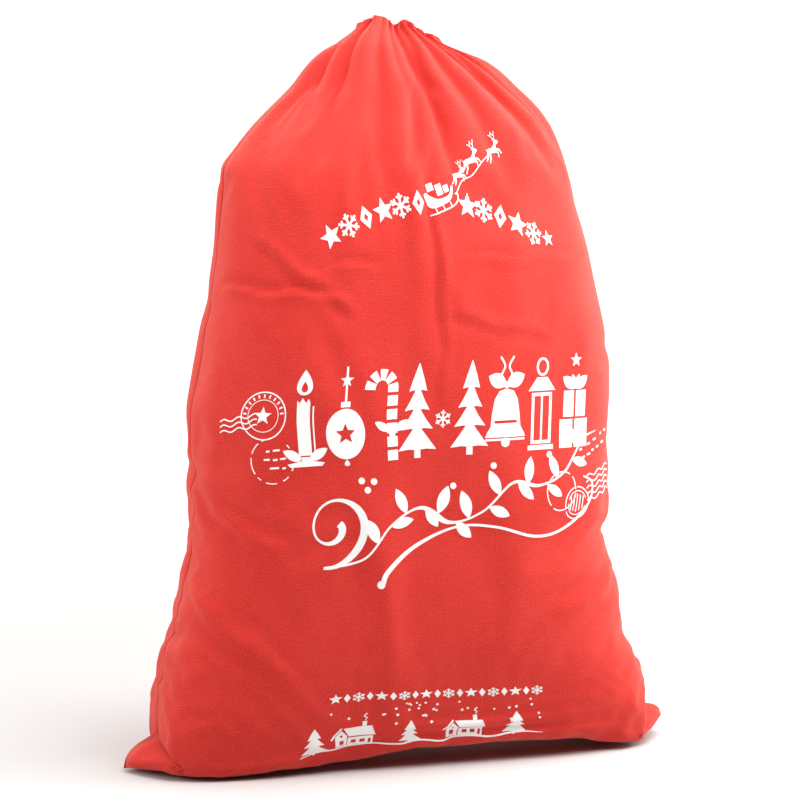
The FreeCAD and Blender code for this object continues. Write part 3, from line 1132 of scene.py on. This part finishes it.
class SACK_OT_drawcord(bpy.types.Operator):
    """Threads the twisted drawcord through the channel and ties its knot in the mouth"""

    bl_idname = "sack.drawcord"
    bl_label = "Drawcord"

    def execute(self, context):
        cloth = context.scene.sack_cloth
        cord = context.scene.sack_cord
        for side in ("front", "back"):
            line, across = channel_line(side, cloth, cord)
            strands = twisted_strands(line, cord)
            thing = tube_piece(f"{side}_drawcord", strands, cord.diameter * STRAND)
            dress(thing, "braided_red_cord")
            at = np.empty(len(thing.data.vertices) * 3)
            thing.data.vertices.foreach_get("co", at)
            at = at.reshape(-1, 3)
            away = ((at[:, None, :2] - line[None, :, :2]) ** 2).sum(axis=-1)
            open_with(thing, across[away.argmin(axis=1)])
            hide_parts("drawcord")
        low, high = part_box("drawcord_knot")
        centre = np.array((low + high) / 2)
        reach = (high.x - low.x) / 2 - cord.diameter * 2 * STRAND
        turn = np.linspace(0.5, 2 * math.pi + 0.3, 60)
        knot = np.stack(
            [
                centre[0] + reach / 3 * (np.sin(turn) + 2 * np.sin(2 * turn)),
                centre[1] - reach * 0.55 * np.sin(3 * turn),
                centre[2] + reach / 3 * (np.cos(turn) - 2 * np.cos(2 * turn)),
            ],
            axis=-1,
        )
        line, _ = channel_line("back", cloth, cord)
        middle = line[len(line) // 2]
        lead = [middle, (middle + knot[0]) / 2 + (0, 0, 0.002)]
        strands = twisted_strands(resampled(np.vstack([lead, knot]), 0.002), cord)
        thing = tube_piece("drawcord_end_knot", strands, cord.diameter * STRAND)
        dress(thing, "braided_red_cord")
        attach(thing, "mouth_back")
        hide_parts("drawcord_knot")
        return {"FINISHED"}


# ---------------------------------------------------------------- the print


def circle(x, y, radius, count=28):
    turn = np.linspace(0, 2 * math.pi, count, endpoint=False)
    return np.stack([x + radius * np.cos(turn), y + radius * np.sin(turn)], axis=-1)


def star(x, y, outer, inner, tips=5):
    turn = np.arange(2 * tips) * math.pi / tips + math.pi / 2
    size = np.where(np.arange(2 * tips) % 2 == 0, outer, inner)
    return np.stack([x + size * np.cos(turn), y + size * np.sin(turn)], axis=-1)


def box(left, right, low, high):
    return [(left, low), (right, low), (right, high), (left, high)]


def diamond(half_width, half_height):
    return [(-half_width, 0), (0, -half_height), (half_width, 0), (0, half_height)]


def drop(x, low, high, wide):
    """A flame or a bud, pointed at its top."""
    turn = np.linspace(0, 2 * math.pi, 28, endpoint=False)
    up = (1 - np.cos(turn)) / 2
    across = wide / 2 * np.sin(turn) * (1 - up) ** 0.55 * 1.5
    return np.stack([x + across, low + (high - low) * up], axis=-1)[::-1]


def leaf(x, y, length, turn, wide=0.42):
    """A pointed leaf that grows from a place at a turn."""
    along = np.linspace(0, 1, 10)
    half = wide * length / 2 * np.sin(math.pi * along) ** 0.8
    outline = np.concatenate(
        [np.stack([along * length, -half], -1), np.stack([along[-2:0:-1] * length, half[-2:0:-1]], -1)]
    )
    c, s = math.cos(turn), math.sin(turn)
    return outline @ np.array([[c, s], [-s, c]]) + (x, y)


def curve_through(points, each=14):
    """A smooth line through points."""
    points = np.asarray(points, float)
    ends = np.vstack([2 * points[0] - points[1], points, 2 * points[-1] - points[-2]])
    t = np.linspace(0, 1, each, endpoint=False)[:, None]
    parts = []
    for a, b, c, d in zip(ends, ends[1:], ends[2:], ends[3:]):
        parts.append(
            0.5 * (2 * b + (c - a) * t + (2 * a - 5 * b + 4 * c - d) * t**2 + (3 * b - a - 3 * c + d) * t**3)
        )
    return np.vstack(parts + [points[-1:]])


def nib_widths(path, shares, widths):
    """The width of a pen line at each of its points, from its widths at shares of its points."""
    return np.interp(np.linspace(0, 1, len(path)), shares, widths)


class Ink:
    """The shapes of one print, in millimetres on the flat cut: across from the middle, and up."""

    def __init__(self):
        self.faces = []
        self.at(0, 0)

    def at(self, x, y, size=1.0, turn=0.0):
        """Where the shapes that follow are put."""
        self.place = (x, y, size, math.cos(turn), math.sin(turn))
        return self

    def moved(self, loop):
        x, y, size, c, s = self.place
        return np.asarray(loop, float) * size @ np.array([[c, s], [-s, c]]) + (x, y)

    def fill(self, *loops):
        """One shape from its outline and the outlines of its holes."""
        loops = [self.moved(loop) for loop in loops]
        points = np.vstack(loops)
        for corners in tessellate_polygon([[Vector((*p, 0)) for p in loop] for loop in loops]):
            self.faces.append([tuple(points[i]) for i in corners])
        return self

    def stroke(self, path, width):
        """A line with a width, which may differ from point to point."""
        path = np.asarray(path, float)
        ahead = np.gradient(path, axis=0)
        ahead /= np.maximum(np.linalg.norm(ahead, axis=1, keepdims=True), 1e-9)
        half = np.stack([-ahead[:, 1], ahead[:, 0]], axis=-1) * (np.asarray(width) / 2).reshape(-1, 1)
        left, right = self.moved(path + half), self.moved(path - half)
        for n in range(len(path) - 1):
            corners = right[n], right[n + 1], left[n + 1], left[n]
            self.faces.append([tuple(p) for p in corners])
        return self

    def in_cells(self, cloth):
        """The faces cut along the sheet's rows and columns, so that they lie on it where it folds."""
        steps = (
            cloth.flat_width / cloth.columns / MM,
            (cloth.flat_length - cloth.hem) / cloth.rows / MM,
        )
        faces = self.faces
        for axis, step in enumerate(steps):
            cut = []
            for face in faces:
                values = [p[axis] for p in face]
                for n in range(math.floor(min(values) / step) + 1, math.ceil(max(values) / step)):
                    below, above = [], []
                    for p, q in zip(face, face[1:] + face[:1]):
                        from_p, from_q = p[axis] - n * step, q[axis] - n * step
                        (below if from_p < 0 else above).append(p)
                        if (from_p < 0) != (from_q < 0):
                            share = from_p / (from_p - from_q)
                            crossing = tuple(a + (b - a) * share for a, b in zip(p, q))
                            below.append(crossing)
                            above.append(crossing)
                    cut.append(below)
                    face = above
                cut.append(face)
            faces = [face for face in cut if len(face) > 2]
        return faces


def print_piece(name, ink, cloth, opens=False):
    """Lays a print's shapes on the front sheet as a thin film of ink."""
    index, faces = {}, []
    for face in ink.in_cells(cloth):
        turned = sum(p[0] * q[1] - q[0] * p[1] for p, q in zip(face, face[1:] + face[:1]))
        if abs(turned) < 0.002:
            continue
        corners = []
        for p in face if turned > 0 else face[::-1]:
            key = (round(p[0], 3), round(p[1], 3))
            number = index.setdefault(key, len(index))
            if number not in corners:
                corners.append(number)
        if len(corners) > 2:
            faces.append(corners)
    flat = np.array(list(index)) * MM
    points = on_sheet("front", flat[:, 0], flat[:, 1], cloth.ink_lift)
    thing = mesh_object(name, points, faces)
    set_uv(thing, flat)
    film = thing.modifiers.new("Solidify", "SOLIDIFY")
    film.thickness = cloth.ink_lift * 0.8
    film.offset = -1
    finish_modifiers(thing)
    shade(thing, math.radians(60))
    dress(thing, "white_screen_ink")
    if opens:
        across = flat[:, 0] / (cloth.flat_width / 2)
        open_with(thing, np.tile(across, 2))
    else:
        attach(thing, "root")
    return thing


def snowflake(ink, radius):
    for arm in range(6):
        turn = arm * math.pi / 3 + math.pi / 6
        tip = np.array([math.cos(turn), math.sin(turn)]) * radius
        ink.stroke([(0, 0), tip], radius * 0.2)
        for lean in (-0.9, 0.9):
            twig = np.array([math.cos(turn + lean), math.sin(turn + lean)]) * radius * 0.36
            ink.stroke([tip * 0.55, tip * 0.55 + twig], radius * 0.16)


def fir(ink, tiers=4, wide=0.215, bands=True):
    """A fir tree one unit high, in tiers with a gap of garland under each."""
    trunk = 0.08
    for n in range(tiers):
        low = trunk + (1 - trunk) * n / tiers * 0.86
        high = low + (1 - trunk) / tiers * (1.10 if n < tiers - 1 else 1.5)
        outer = wide * (1 - 0.72 * n / tiers)
        inner = outer * 0.36
        top = min(high, 1.0)
        gap = 0.018 if bands and n else 0
        ink.fill([
            (-outer, low + gap), (-outer * 0.45, low + 0.012 + gap), (0, low + gap + 0.002),
            (outer * 0.45, low + 0.012 + gap), (outer, low + gap), (outer * 0.55, low + (top - low) * 0.5),
            (inner * 0.5 if n < tiers - 1 else 0.004, top - 0.02 * bands),
            (-inner * 0.5 if n < tiers - 1 else -0.004, top - 0.02 * bands),
            (-outer * 0.55, low + (top - low) * 0.5),
        ])
    ink.fill(box(-0.035, 0.035, 0, trunk))


def candle(ink):
    """A candle one unit high, on a saucer with two leaves."""
    half = [(0.17, 0), (0.20, 0.035), (0.07, 0.055), (0.05, 0.10)]
    ink.fill([(-0.17, 0)] + half + [(-x, y) for x, y in half[:0:-1]])
    melted = [(0.07, 0.66), (0.05, 0.70), (0.025, 0.66), (-0.015, 0.71), (-0.045, 0.66), (-0.07, 0.69)]
    ink.fill([(-0.07, 0.115), (0.07, 0.115)] + melted)
    ink.stroke([(0.105, 0.14), (0.105, 0.62)], 0.016)
    ink.fill(drop(0.0, 0.74, 1.0, 0.15), drop(0.0, 0.77, 0.88, 0.06)[::-1])
    for side in (-1, 1):
        ink.fill(leaf(side * 0.03, 0.06, 0.24, math.pi / 2 - side * 1.05))


def bauble(ink):
    """A bauble that hangs on its thread from one unit up."""
    ink.stroke([(0, 0.62), (0, 1.0)], 0.022)
    ink.fill(star(0, 0.86, 0.075, 0.032))
    ink.fill(box(-0.05, 0.05, 0.585, 0.64))
    ink.fill(circle(0, 0, 1, 36) * (0.21, 0.26) + (0, 0.31), star(0, 0.31, 0.11, 0.05)[::-1])
    ink.fill(drop(0, -0.02, 0.045, 0.05)[::-1])


def cane(ink):
    """A striped cane one unit high, with a sprig tied to it."""
    straight = [(0.09, y) for y in np.linspace(0, 0.74, 22)]
    turn = np.linspace(0, math.pi * 1.05, 20)[1:]
    hook = [(-0.04 + 0.13 * math.cos(t), 0.74 + 0.15 * math.sin(t)) for t in turn]
    path = np.array(straight + hook)
    for n in range(0, len(path) - 3, 4):
        ink.stroke(path[n:n + 4], 0.115)
    ink.fill(leaf(0.07, 0.30, 0.20, math.pi * 0.82))
    ink.fill(leaf(0.11, 0.30, 0.20, math.pi * 0.18))
    ink.fill(circle(0.09, 0.27, 0.035, 12))


def bell(ink):
    """A bell one unit high under a bow."""
    half = [(0.24, 0.16), (0.225, 0.20), (0.18, 0.27), (0.165, 0.42), (0.14, 0.56), (0.09, 0.64)]
    half.append((0.0, 0.665))
    outline = half + [(-x, y) for x, y in half[-2::-1]]
    ink.fill(outline, box(-0.135, 0.135, 0.305, 0.335)[::-1])
    ink.fill(circle(0, 0.105, 0.05, 16))
    ink.stroke([(-0.235, 0.135), (0.235, 0.135)], 0.022)
    for side in (-1, 1):
        ink.fill(leaf(0, 0.70, 0.25, math.pi / 2 - side * 1.15, 0.62))
        ribbon = np.array([(0.01, 0.70), (0.07, 0.80), (0.03, 0.90), (0.09, 1.0)]) * (side, 1)
        ink.stroke(curve_through(ribbon, 6), 0.022)
    ink.fill(circle(0, 0.705, 0.035, 12))


def lantern(ink):
    """A lantern one unit high with two panes and a ring."""
    ink.fill(box(-0.17, 0.17, 0.0, 0.05))
    panes = [box(left, left + 0.088, 0.10, 0.565)[::-1] for left in (-0.10, 0.012)]
    ink.fill(box(-0.135, 0.135, 0.065, 0.60), *panes)
    ink.fill([(-0.18, 0.62), (0.18, 0.62), (0.07, 0.76), (-0.07, 0.76)])
    turn = np.linspace(0, 2 * math.pi, 20)
    ink.stroke(np.stack([0.07 * np.cos(turn), 0.87 + 0.085 * np.sin(turn)], -1), 0.026)


def parcels(ink):
    """Two stacked parcels one unit high, with their ribbon, bow and star."""
    lower = ((-0.21, -0.03, 0.0, 0.30), (0.0, 0.21, 0.0, 0.30))
    upper = ((-0.165, -0.02, 0.325, 0.60), (0.01, 0.165, 0.325, 0.60))
    for sizes in lower + upper:
        ink.fill(box(*sizes))
    for side in (-1, 1):
        ink.fill(leaf(0, 0.62, 0.22, math.pi / 2 - side * 0.95, 0.55))
        ink.fill(leaf(0, 0.62, 0.16, math.pi / 2 - side * 0.30, 0.40))
    ink.fill(star(0, 0.92, 0.08, 0.034))


def sleigh(ink):
    """A sleigh loaded with parcels, one unit long."""
    keel = [
        (-0.50, 0.30), (-0.46, 0.16), (-0.30, 0.08), (0.10, 0.08),
        (0.32, 0.14), (0.45, 0.30), (0.50, 0.44),
    ]
    rail = [
        (0.44, 0.44), (0.36, 0.30), (0.20, 0.24), (-0.10, 0.26),
        (-0.30, 0.40), (-0.42, 0.52), (-0.54, 0.50),
    ]
    ink.fill(np.vstack([curve_through(keel, 5), curve_through(rail, 5)]))
    runner = [(-0.52, -0.06), (-0.20, -0.07), (0.30, -0.05), (0.52, 0.04), (0.58, 0.18), (0.50, 0.22)]
    ink.stroke(curve_through(runner, 6), 0.035)
    for x in (-0.28, 0.0, 0.26):
        ink.stroke([(x, 0.09), (x + 0.02, -0.05)], 0.03)
    for sizes in ((-0.34, -0.12, 0.52, 0.72), (-0.07, 0.13, 0.33, 0.62), (0.18, 0.34, 0.34, 0.52)):
        ink.fill(box(*sizes))


def reindeer(ink):
    """A running reindeer, one unit high."""
    ink.fill([
        (-0.30, 0.36), (-0.22, 0.30), (-0.05, 0.30), (0.08, 0.27), (0.18, 0.34), (0.24, 0.50), (0.34, 0.55),
        (0.40, 0.58), (0.38, 0.64), (0.28, 0.70), (0.22, 0.68), (0.15, 0.54), (0.02, 0.47), (-0.20, 0.48),
        (-0.30, 0.45), (-0.36, 0.52),
    ])
    for path in (
        [(-0.26, 0.40), (-0.36, 0.22), (-0.50, 0.12)],
        [(-0.20, 0.36), (-0.22, 0.18), (-0.36, 0.02)],
        [(0.10, 0.34), (0.26, 0.24), (0.22, 0.08)],
        [(0.14, 0.38), (0.34, 0.32), (0.40, 0.18)],
    ):
        ink.stroke(path, [0.09, 0.055, 0.035])
    for lean in (-0.10, 0.05):
        ink.stroke([(0.25, 0.67), (0.22 + lean, 0.84), (0.28 + lean, 1.0)], 0.028)
        ink.stroke([(0.22 + lean, 0.84), (0.12 + lean, 0.93)], 0.024)
    ink.stroke([(0.23, 0.67), (0.15, 0.72)], 0.035)


def house(ink):
    """A small house with a gable, one unit high, with windows left open."""
    ink.fill(
        [(-0.62, 0.0), (-0.22, 0.0), (-0.22, 0.42), (-0.42, 0.66), (-0.62, 0.42)],
        box(-0.50, -0.34, 0.06, 0.26)[::-1],
        circle(-0.42, 0.43, 0.05, 10)[::-1],
    )
    ink.fill(
        box(-0.18, 0.60, 0.0, 0.34),
        box(-0.06, 0.10, 0.10, 0.25)[::-1],
        box(0.20, 0.36, 0.10, 0.25)[::-1],
        box(0.45, 0.54, 0.03, 0.25)[::-1],
    )
    ink.fill([(-0.17, 0.40), (0.68, 0.37), (0.56, 0.70), (-0.36, 0.74)])
    ink.stroke([(-0.74, 0.36), (-0.42, 0.76)], 0.06)
    ink.fill(box(0.24, 0.38, 0.72, 0.90))
    smoke = curve_through([(0.31, 0.94), (0.37, 1.02), (0.28, 1.10), (0.36, 1.20)], 6)
    ink.stroke(smoke, np.linspace(0.02, 0.05, len(smoke)))


class SACK_OT_arc_print(bpy.types.Operator):
    """Prints the arc of stars and snowflakes with the sleigh and its team near the mouth"""

    bl_idname = "sack.arc_print"
    bl_label = "Arc print"

    def execute(self, context):
        cloth = context.scene.sack_cloth
        ink = Ink()
        places = list(np.linspace(-102, -12, 6)) + list(np.linspace(43, 112, 5))
        for n, x in enumerate(places):
            y = 555 - 0.0025 * (x - 4) ** 2
            lean = -0.0048 * (x - 4)
            ink.at(x, y, 1.22, lean)
            if n % 3 == 0:
                ink.fill(star(0, 0, 9.0, 4.0))
            elif n % 3 == 1:
                snowflake(ink, 8.6)
            else:
                ink.fill(diamond(5.2, 8.5), diamond(1.8, 3.0)[::-1])
        ink.at(130, 521).fill(star(0, 0, 7.4, 3.0))
        ink.at(17, 550, 33, 0.28)
        sleigh(ink)
        team = ((40, 569, 20, 0.20), (57, 580, 26, 0.34), (86, 588, 25, 0.24))
        for x, y, size, turn in team:
            ink.at(x, y, size, turn)
            reindeer(ink)
        ink.at(0, 0).stroke(curve_through([(32, 561), (42, 572), (54, 577), (70, 590), (92, 599)]), 0.9)
        print_piece("arc_print", ink, cloth, opens=True)
        return {"FINISHED"}


class SACK_OT_ornament_print(bpy.types.Operator):
    """Prints the row of tall festive ornaments across the middle"""

    bl_idname = "sack.ornament_print"
    bl_label = "Ornament print"

    def execute(self, context):
        ink = Ink()
        row = (
            (-115, candle), (-79, bauble), (-45, cane), (-15, fir),
            (33, fir), (67, bell), (104, lantern), (142, parcels),
        )
        for x, motif in row:
            ink.at(x, 341 - 8 * ((x - 80) / 213) ** 2, 82, 0.035 * (60 - x) / 100)
            motif(ink)
        ink.at(8, 372)
        snowflake(ink, 7.5)
        print_piece("ornament_print", ink, context.scene.sack_cloth)
        return {"FINISHED"}


class SACK_OT_flourish_print(bpy.types.Operator):
    """Prints the pen-drawn vine and the sweep under it"""

    bl_idname = "sack.flourish_print"
    bl_label = "Flourish print"

    def execute(self, context):
        ink = Ink().at(-4, 14)
        turn = np.linspace(6.9, -1.75, 46)
        grow = np.linspace(6, 35, 46)
        spiral = np.stack([-88 + grow * 0.95 * np.cos(turn), 268 + grow * np.sin(turn)], -1)
        waves = [
            spiral[-1], (-58, 240), (-36, 268), (-8, 282), (20, 268), (50, 276),
            (78, 300), (106, 296), (134, 306), (158, 332), (178, 338),
        ]
        vine = resampled(np.vstack([spiral[:-1], curve_through(waves)]), 2.2)
        ahead = np.gradient(vine, axis=0)
        ahead /= np.linalg.norm(ahead, axis=1, keepdims=True)
        nib = 1.9 + 5.0 * np.clip(-ahead[:, 1] + 0.15, 0, 1) ** 1.3
        nib = np.convolve(np.pad(nib, 4, mode="edge"), np.ones(9) / 9, mode="valid")
        nib[-8:] *= np.linspace(1, 0.3, 8)
        ink.stroke(vine, nib)
        for x, y, length, at in (
            (-46, 254, 24, 2.1), (-36, 268, 22, 0.2), (-22, 278, 24, 2.0), (-4, 282, 22, -0.9),
            (8, 276, 26, 1.2), (26, 268, 22, -0.7), (38, 271, 26, 1.9), (56, 280, 22, -0.4),
            (66, 290, 24, 2.0), (84, 300, 22, -0.8), (94, 298, 24, 1.4), (114, 296, 20, -0.6),
            (126, 301, 22, 1.9), (144, 316, 20, -0.3), (152, 326, 20, 2.1),
        ):
            ink.fill(leaf(x, y, length, at))
        for x, y in ((-58, 300), (-52, 307), (-63, 308), (22, 300), (60, 316), (118, 322)):
            ink.fill(circle(x, y, 2.9, 12))
        sweep = [
            (-40, 218), (-34, 230), (-8, 250), (28, 264), (66, 262),
            (104, 252), (134, 254), (160, 270), (170, 292), (158, 300),
        ]
        sweep = resampled(curve_through(sweep), 2.5)
        ink.stroke(sweep, nib_widths(sweep, (0, 0.1, 0.3, 0.8, 1), (4.6, 4.2, 2.0, 2.6, 1.4)))
        ink.fill(circle(-41, 218, 3.6, 14))
        print_piece("flourish_print", ink, context.scene.sack_cloth)
        return {"FINISHED"}


def broken_ring(ink, x, y, radius, width, gaps):
    """A worn ring: arcs with gaps at those shares of the turn."""
    for first, last in gaps:
        turn = np.linspace(first, last, 14) * 2 * math.pi
        ink.stroke(np.stack([x + radius * np.cos(turn), y + radius * np.sin(turn)], -1), width)


def wave_lines(ink, left, right, low, count, apart, tilt, swing):
    """Parallel wavy cancelling lines."""
    for n in range(count):
        x = np.linspace(left, right, 26)
        y = low + n * apart + tilt * (x - left) + swing * np.sin((x - left) * 0.42)
        ink.stroke(np.stack([x, y], -1), 1.1)


class SACK_OT_postmark_print(bpy.types.Operator):
    """Prints the worn round stamps and their wavy lines at both sides"""

    bl_idname = "sack.postmark_print"
    bl_label = "Postmark print"

    def execute(self, context):
        ink = Ink()
        for radius, width in ((20, 1.1), (13.5, 0.6)):
            broken_ring(ink, -153, 377, radius, width, ((0, 0.36), (0.36, 0.71), (0.71, 1.0)))
        ink.at(-153, 377).fill(star(0, 0, 8, 3.4))
        for n in range(11):
            turn = 0.15 + n * 0.29
            ray = np.array([math.cos(turn), math.sin(turn)])
            ink.stroke([15.2 * ray, 18.2 * ray], 1.3)
        ink.at(0, 0)
        wave_lines(ink, -194, -158, 361, 3, 4.6, 0.22, 1.3)
        worn = (
            (0.02, 0.07), (0.10, 0.13), (0.30, 0.33), (0.36, 0.45), (0.48, 0.60),
            (0.63, 0.66), (0.70, 0.78), (0.83, 0.88), (0.93, 0.96),
        )
        broken_ring(ink, -145, 339, 19, 0.9, worn)
        for x, y, wide in (
            (-150, 347, 3), (-144, 348, 6), (-152, 340, 5), (-144, 340, 4),
            (-138, 341, 5), (-147, 333, 8), (-136, 333, 3),
        ):
            ink.stroke([(x, y), (x + wide, y + 0.6)], 1.6)
        broken_ring(ink, 127, 303, 17, 1.0, ((0.0, 0.12), (0.16, 0.42), (0.45, 0.62), (0.66, 0.97)))
        broken_ring(ink, 146, 291, 14, 1.0, ((0.0, 0.25), (0.28, 0.55), (0.58, 0.99)))
        broken_ring(ink, 146, 291, 10.5, 0.7, ((0.05, 0.45), (0.5, 0.95)))
        for n in range(5):
            x, half = 138.5 + n * 3.6, 8 - abs(n - 2) * 1.1
            ink.stroke([(x, 291 - half), (x, 291 + half)], 1.1)
        wave_lines(ink, 158, 199, 292, 5, 5.2, 0.20, 1.4)
        dashes = (
            (146, 327), (153, 330), (160, 332), (168, 335), (176, 337), (185, 340),
            (150, 337), (161, 341), (170, 344), (183, 348), (192, 350),
        )
        for n, (x, y) in enumerate(dashes):
            ink.stroke([(x, y), (x + 3 + n % 3, y + 0.8)], 1.8)
        print_piece("postmark_print", ink, context.scene.sack_cloth)
        return {"FINISHED"}


class SACK_OT_village_print(bpy.types.Operator):
    """Prints the row of small marks, the falling snow and the village near the bottom"""

    bl_idname = "sack.village_print"
    bl_label = "Village print"

    def execute(self, context):
        ink = Ink()
        for n in range(19):
            x = -77 + n * 9.5
            ink.at(x, 125 - 8 * (x + 78) / 172, 1.28)
            if n % 4 == 0:
                ink.fill(star(0, 0, 4.4, 1.9))
            elif n % 4 == 2:
                snowflake(ink, 4.2)
            else:
                ink.fill(diamond(2.2, 3.8))
        for n in range(34):
            x = -84 + 188 * (437.58 * math.sin(n * 12.9898 + 0.4) % 1)
            y = 90 + 22 * (437.58 * math.sin(n * 78.233 + 1.1) % 1)
            ink.at(x, y - 0.02 * x).fill(circle(0, 0, 0.95 + 0.4 * ((n * 0.414) % 1), 8))
        for x, size in ((-92, 25), (-12, 22), (77, 24)):
            ink.at(x, 72, size)
            fir(ink, 3, 0.44, False)
        for x, size in ((-59, 26), (34, 25)):
            ink.at(x, 73, size)
            house(ink)
        ground = [
            (-104, 69), (-88, 71), (-72, 68.5), (-52, 70), (-24, 67.5), (-8, 70.5),
            (14, 68), (40, 70), (60, 68), (80, 70.5), (103, 68.5),
        ]
        ground = curve_through(ground)
        ink.at(0, 3).stroke(ground, nib_widths(ground, (0, 0.1, 0.9, 1), (0.4, 1.5, 1.5, 0.4)))
        print_piece("village_print", ink, context.scene.sack_cloth)
        return {"FINISHED"}


# ---------------------------------------------------------------- stage and panel


class SACK_OT_stage(bpy.types.Operator):
    """Adds the floor, the soft lights and the camera"""

    bl_idname = "sack.stage"
    bl_label = "Stage"

    def execute(self, context):
        setting = context.scene.sack_stage
        deselect()
        bpy.ops.mesh.primitive_plane_add(size=40, location=(0, 0, 0))
        floor = context.object
        floor.name = "floor"
        for vertex in floor.data.vertices:
            vertex.co.z = -0.0012
        floor.data.materials.append(finish_of("studio_floor"))
        for name, kind, power, place in (
            ("key", "AREA", setting.key, (1.35, -0.25, 0.85)),
            ("fill", "AREA", setting.fill, (-1.35, -0.10, 0.80)),
            ("hood", "AREA", setting.hood, (0.30, -0.38, 1.20)),
            ("sky", "SUN", setting.sky, (0.2, 0.10, 1.6)),
        ):
            bpy.ops.object.light_add(type=kind, location=place)
            light = context.object
            light.name = name
            light.data.energy = power
            light.visible_camera = False
            if kind == "SUN":
                light.data.angle = setting.sky_spread
            else:
                light.data.size = setting.panel
            aim = Vector((0, 0, 0.36)) - Vector(place)
            light.rotation_euler = aim.to_track_quat("-Z", "Y").to_euler()
        world = bpy.data.worlds.new("studio")
        context.scene.world = world
        world.use_nodes = True
        tree = world.node_tree
        way = add_node(tree, "ShaderNodeTexCoord").outputs["Generated"]
        parts = add_node(tree, "ShaderNodeSeparateXYZ", None, {"Vector": way})
        tent = add_node(
            tree,
            "ShaderNodeMapRange",
            {"interpolation_type": "SMOOTHSTEP"},
            {"Value": parts.outputs["Y"]},
            From_Min=-0.3,
            From_Max=0.6,
            To_Min=setting.surround_front,
            To_Max=setting.surround,
        )
        background = tree.nodes["Background"]
        background.inputs["Color"].default_value = (1, 1, 1, 1)
        tree.links.new(tent.outputs["Result"], background.inputs["Strength"])
        turn = setting.azimuth
        place = Vector(
            (math.sin(turn) * setting.distance, -math.cos(turn) * setting.distance, setting.height)
        )
        bpy.ops.object.camera_add(location=place)
        camera = context.object
        camera.name = "camera"
        aim = Vector((setting.aim_across, 0, setting.aim)) - place
        camera.rotation_euler = aim.to_track_quat("-Z", "Y").to_euler()
        camera.data.lens = setting.lens
        context.scene.camera = camera
        context.scene.view_settings.view_transform = "Standard"
        return {"FINISHED"}


OPERATORS = (
    SACK_OT_stage,
    SACK_OT_sheets,
    SACK_OT_seams,
    SACK_OT_hem_stitching,
    SACK_OT_drawcord,
    SACK_OT_arc_print,
    SACK_OT_ornament_print,
    SACK_OT_flourish_print,
    SACK_OT_postmark_print,
    SACK_OT_village_print,
)


class SACK_PT_panel(bpy.types.Panel):
    """Lists what builds the sack, in order"""

    bl_idname = "SACK_PT_panel"
    bl_label = "Gift sack"
    bl_space_type = "VIEW_3D"
    bl_region_type = "UI"
    bl_category = "Gift sack"

    def draw(self, context):
        for operator in OPERATORS:
            self.layout.operator(operator.bl_idname)
        for name, kind in GROUPS:
            box_layout = self.layout.box()
            for key in kind.__annotations__:
                box_layout.prop(getattr(context.scene, name), key)


GROUPS = (
    ("sack_cloth", SackCloth),
    ("sack_stitching", SackStitching),
    ("sack_cord", SackCord),
    ("sack_colours", SackColours),
    ("sack_stage", SackStage),
)
CLASSES = tuple(kind for _, kind in GROUPS) + OPERATORS + (SACK_PT_panel,)


def register():
    for kind in CLASSES:
        bpy.utils.register_class(kind)
    for name, kind in GROUPS:
        setattr(bpy.types.Scene, name, bpy.props.PointerProperty(type=kind))


def unregister():
    for name, _ in GROUPS:
        delattr(bpy.types.Scene, name)
    for kind in reversed(CLASSES):
        bpy.utils.unregister_class(kind)


def main():
    register()
    for operator in OPERATORS:
        group, name = operator.bl_idname.split(".")
        getattr(getattr(bpy.ops, group), name)()


if __name__ == "__main__":
    main()
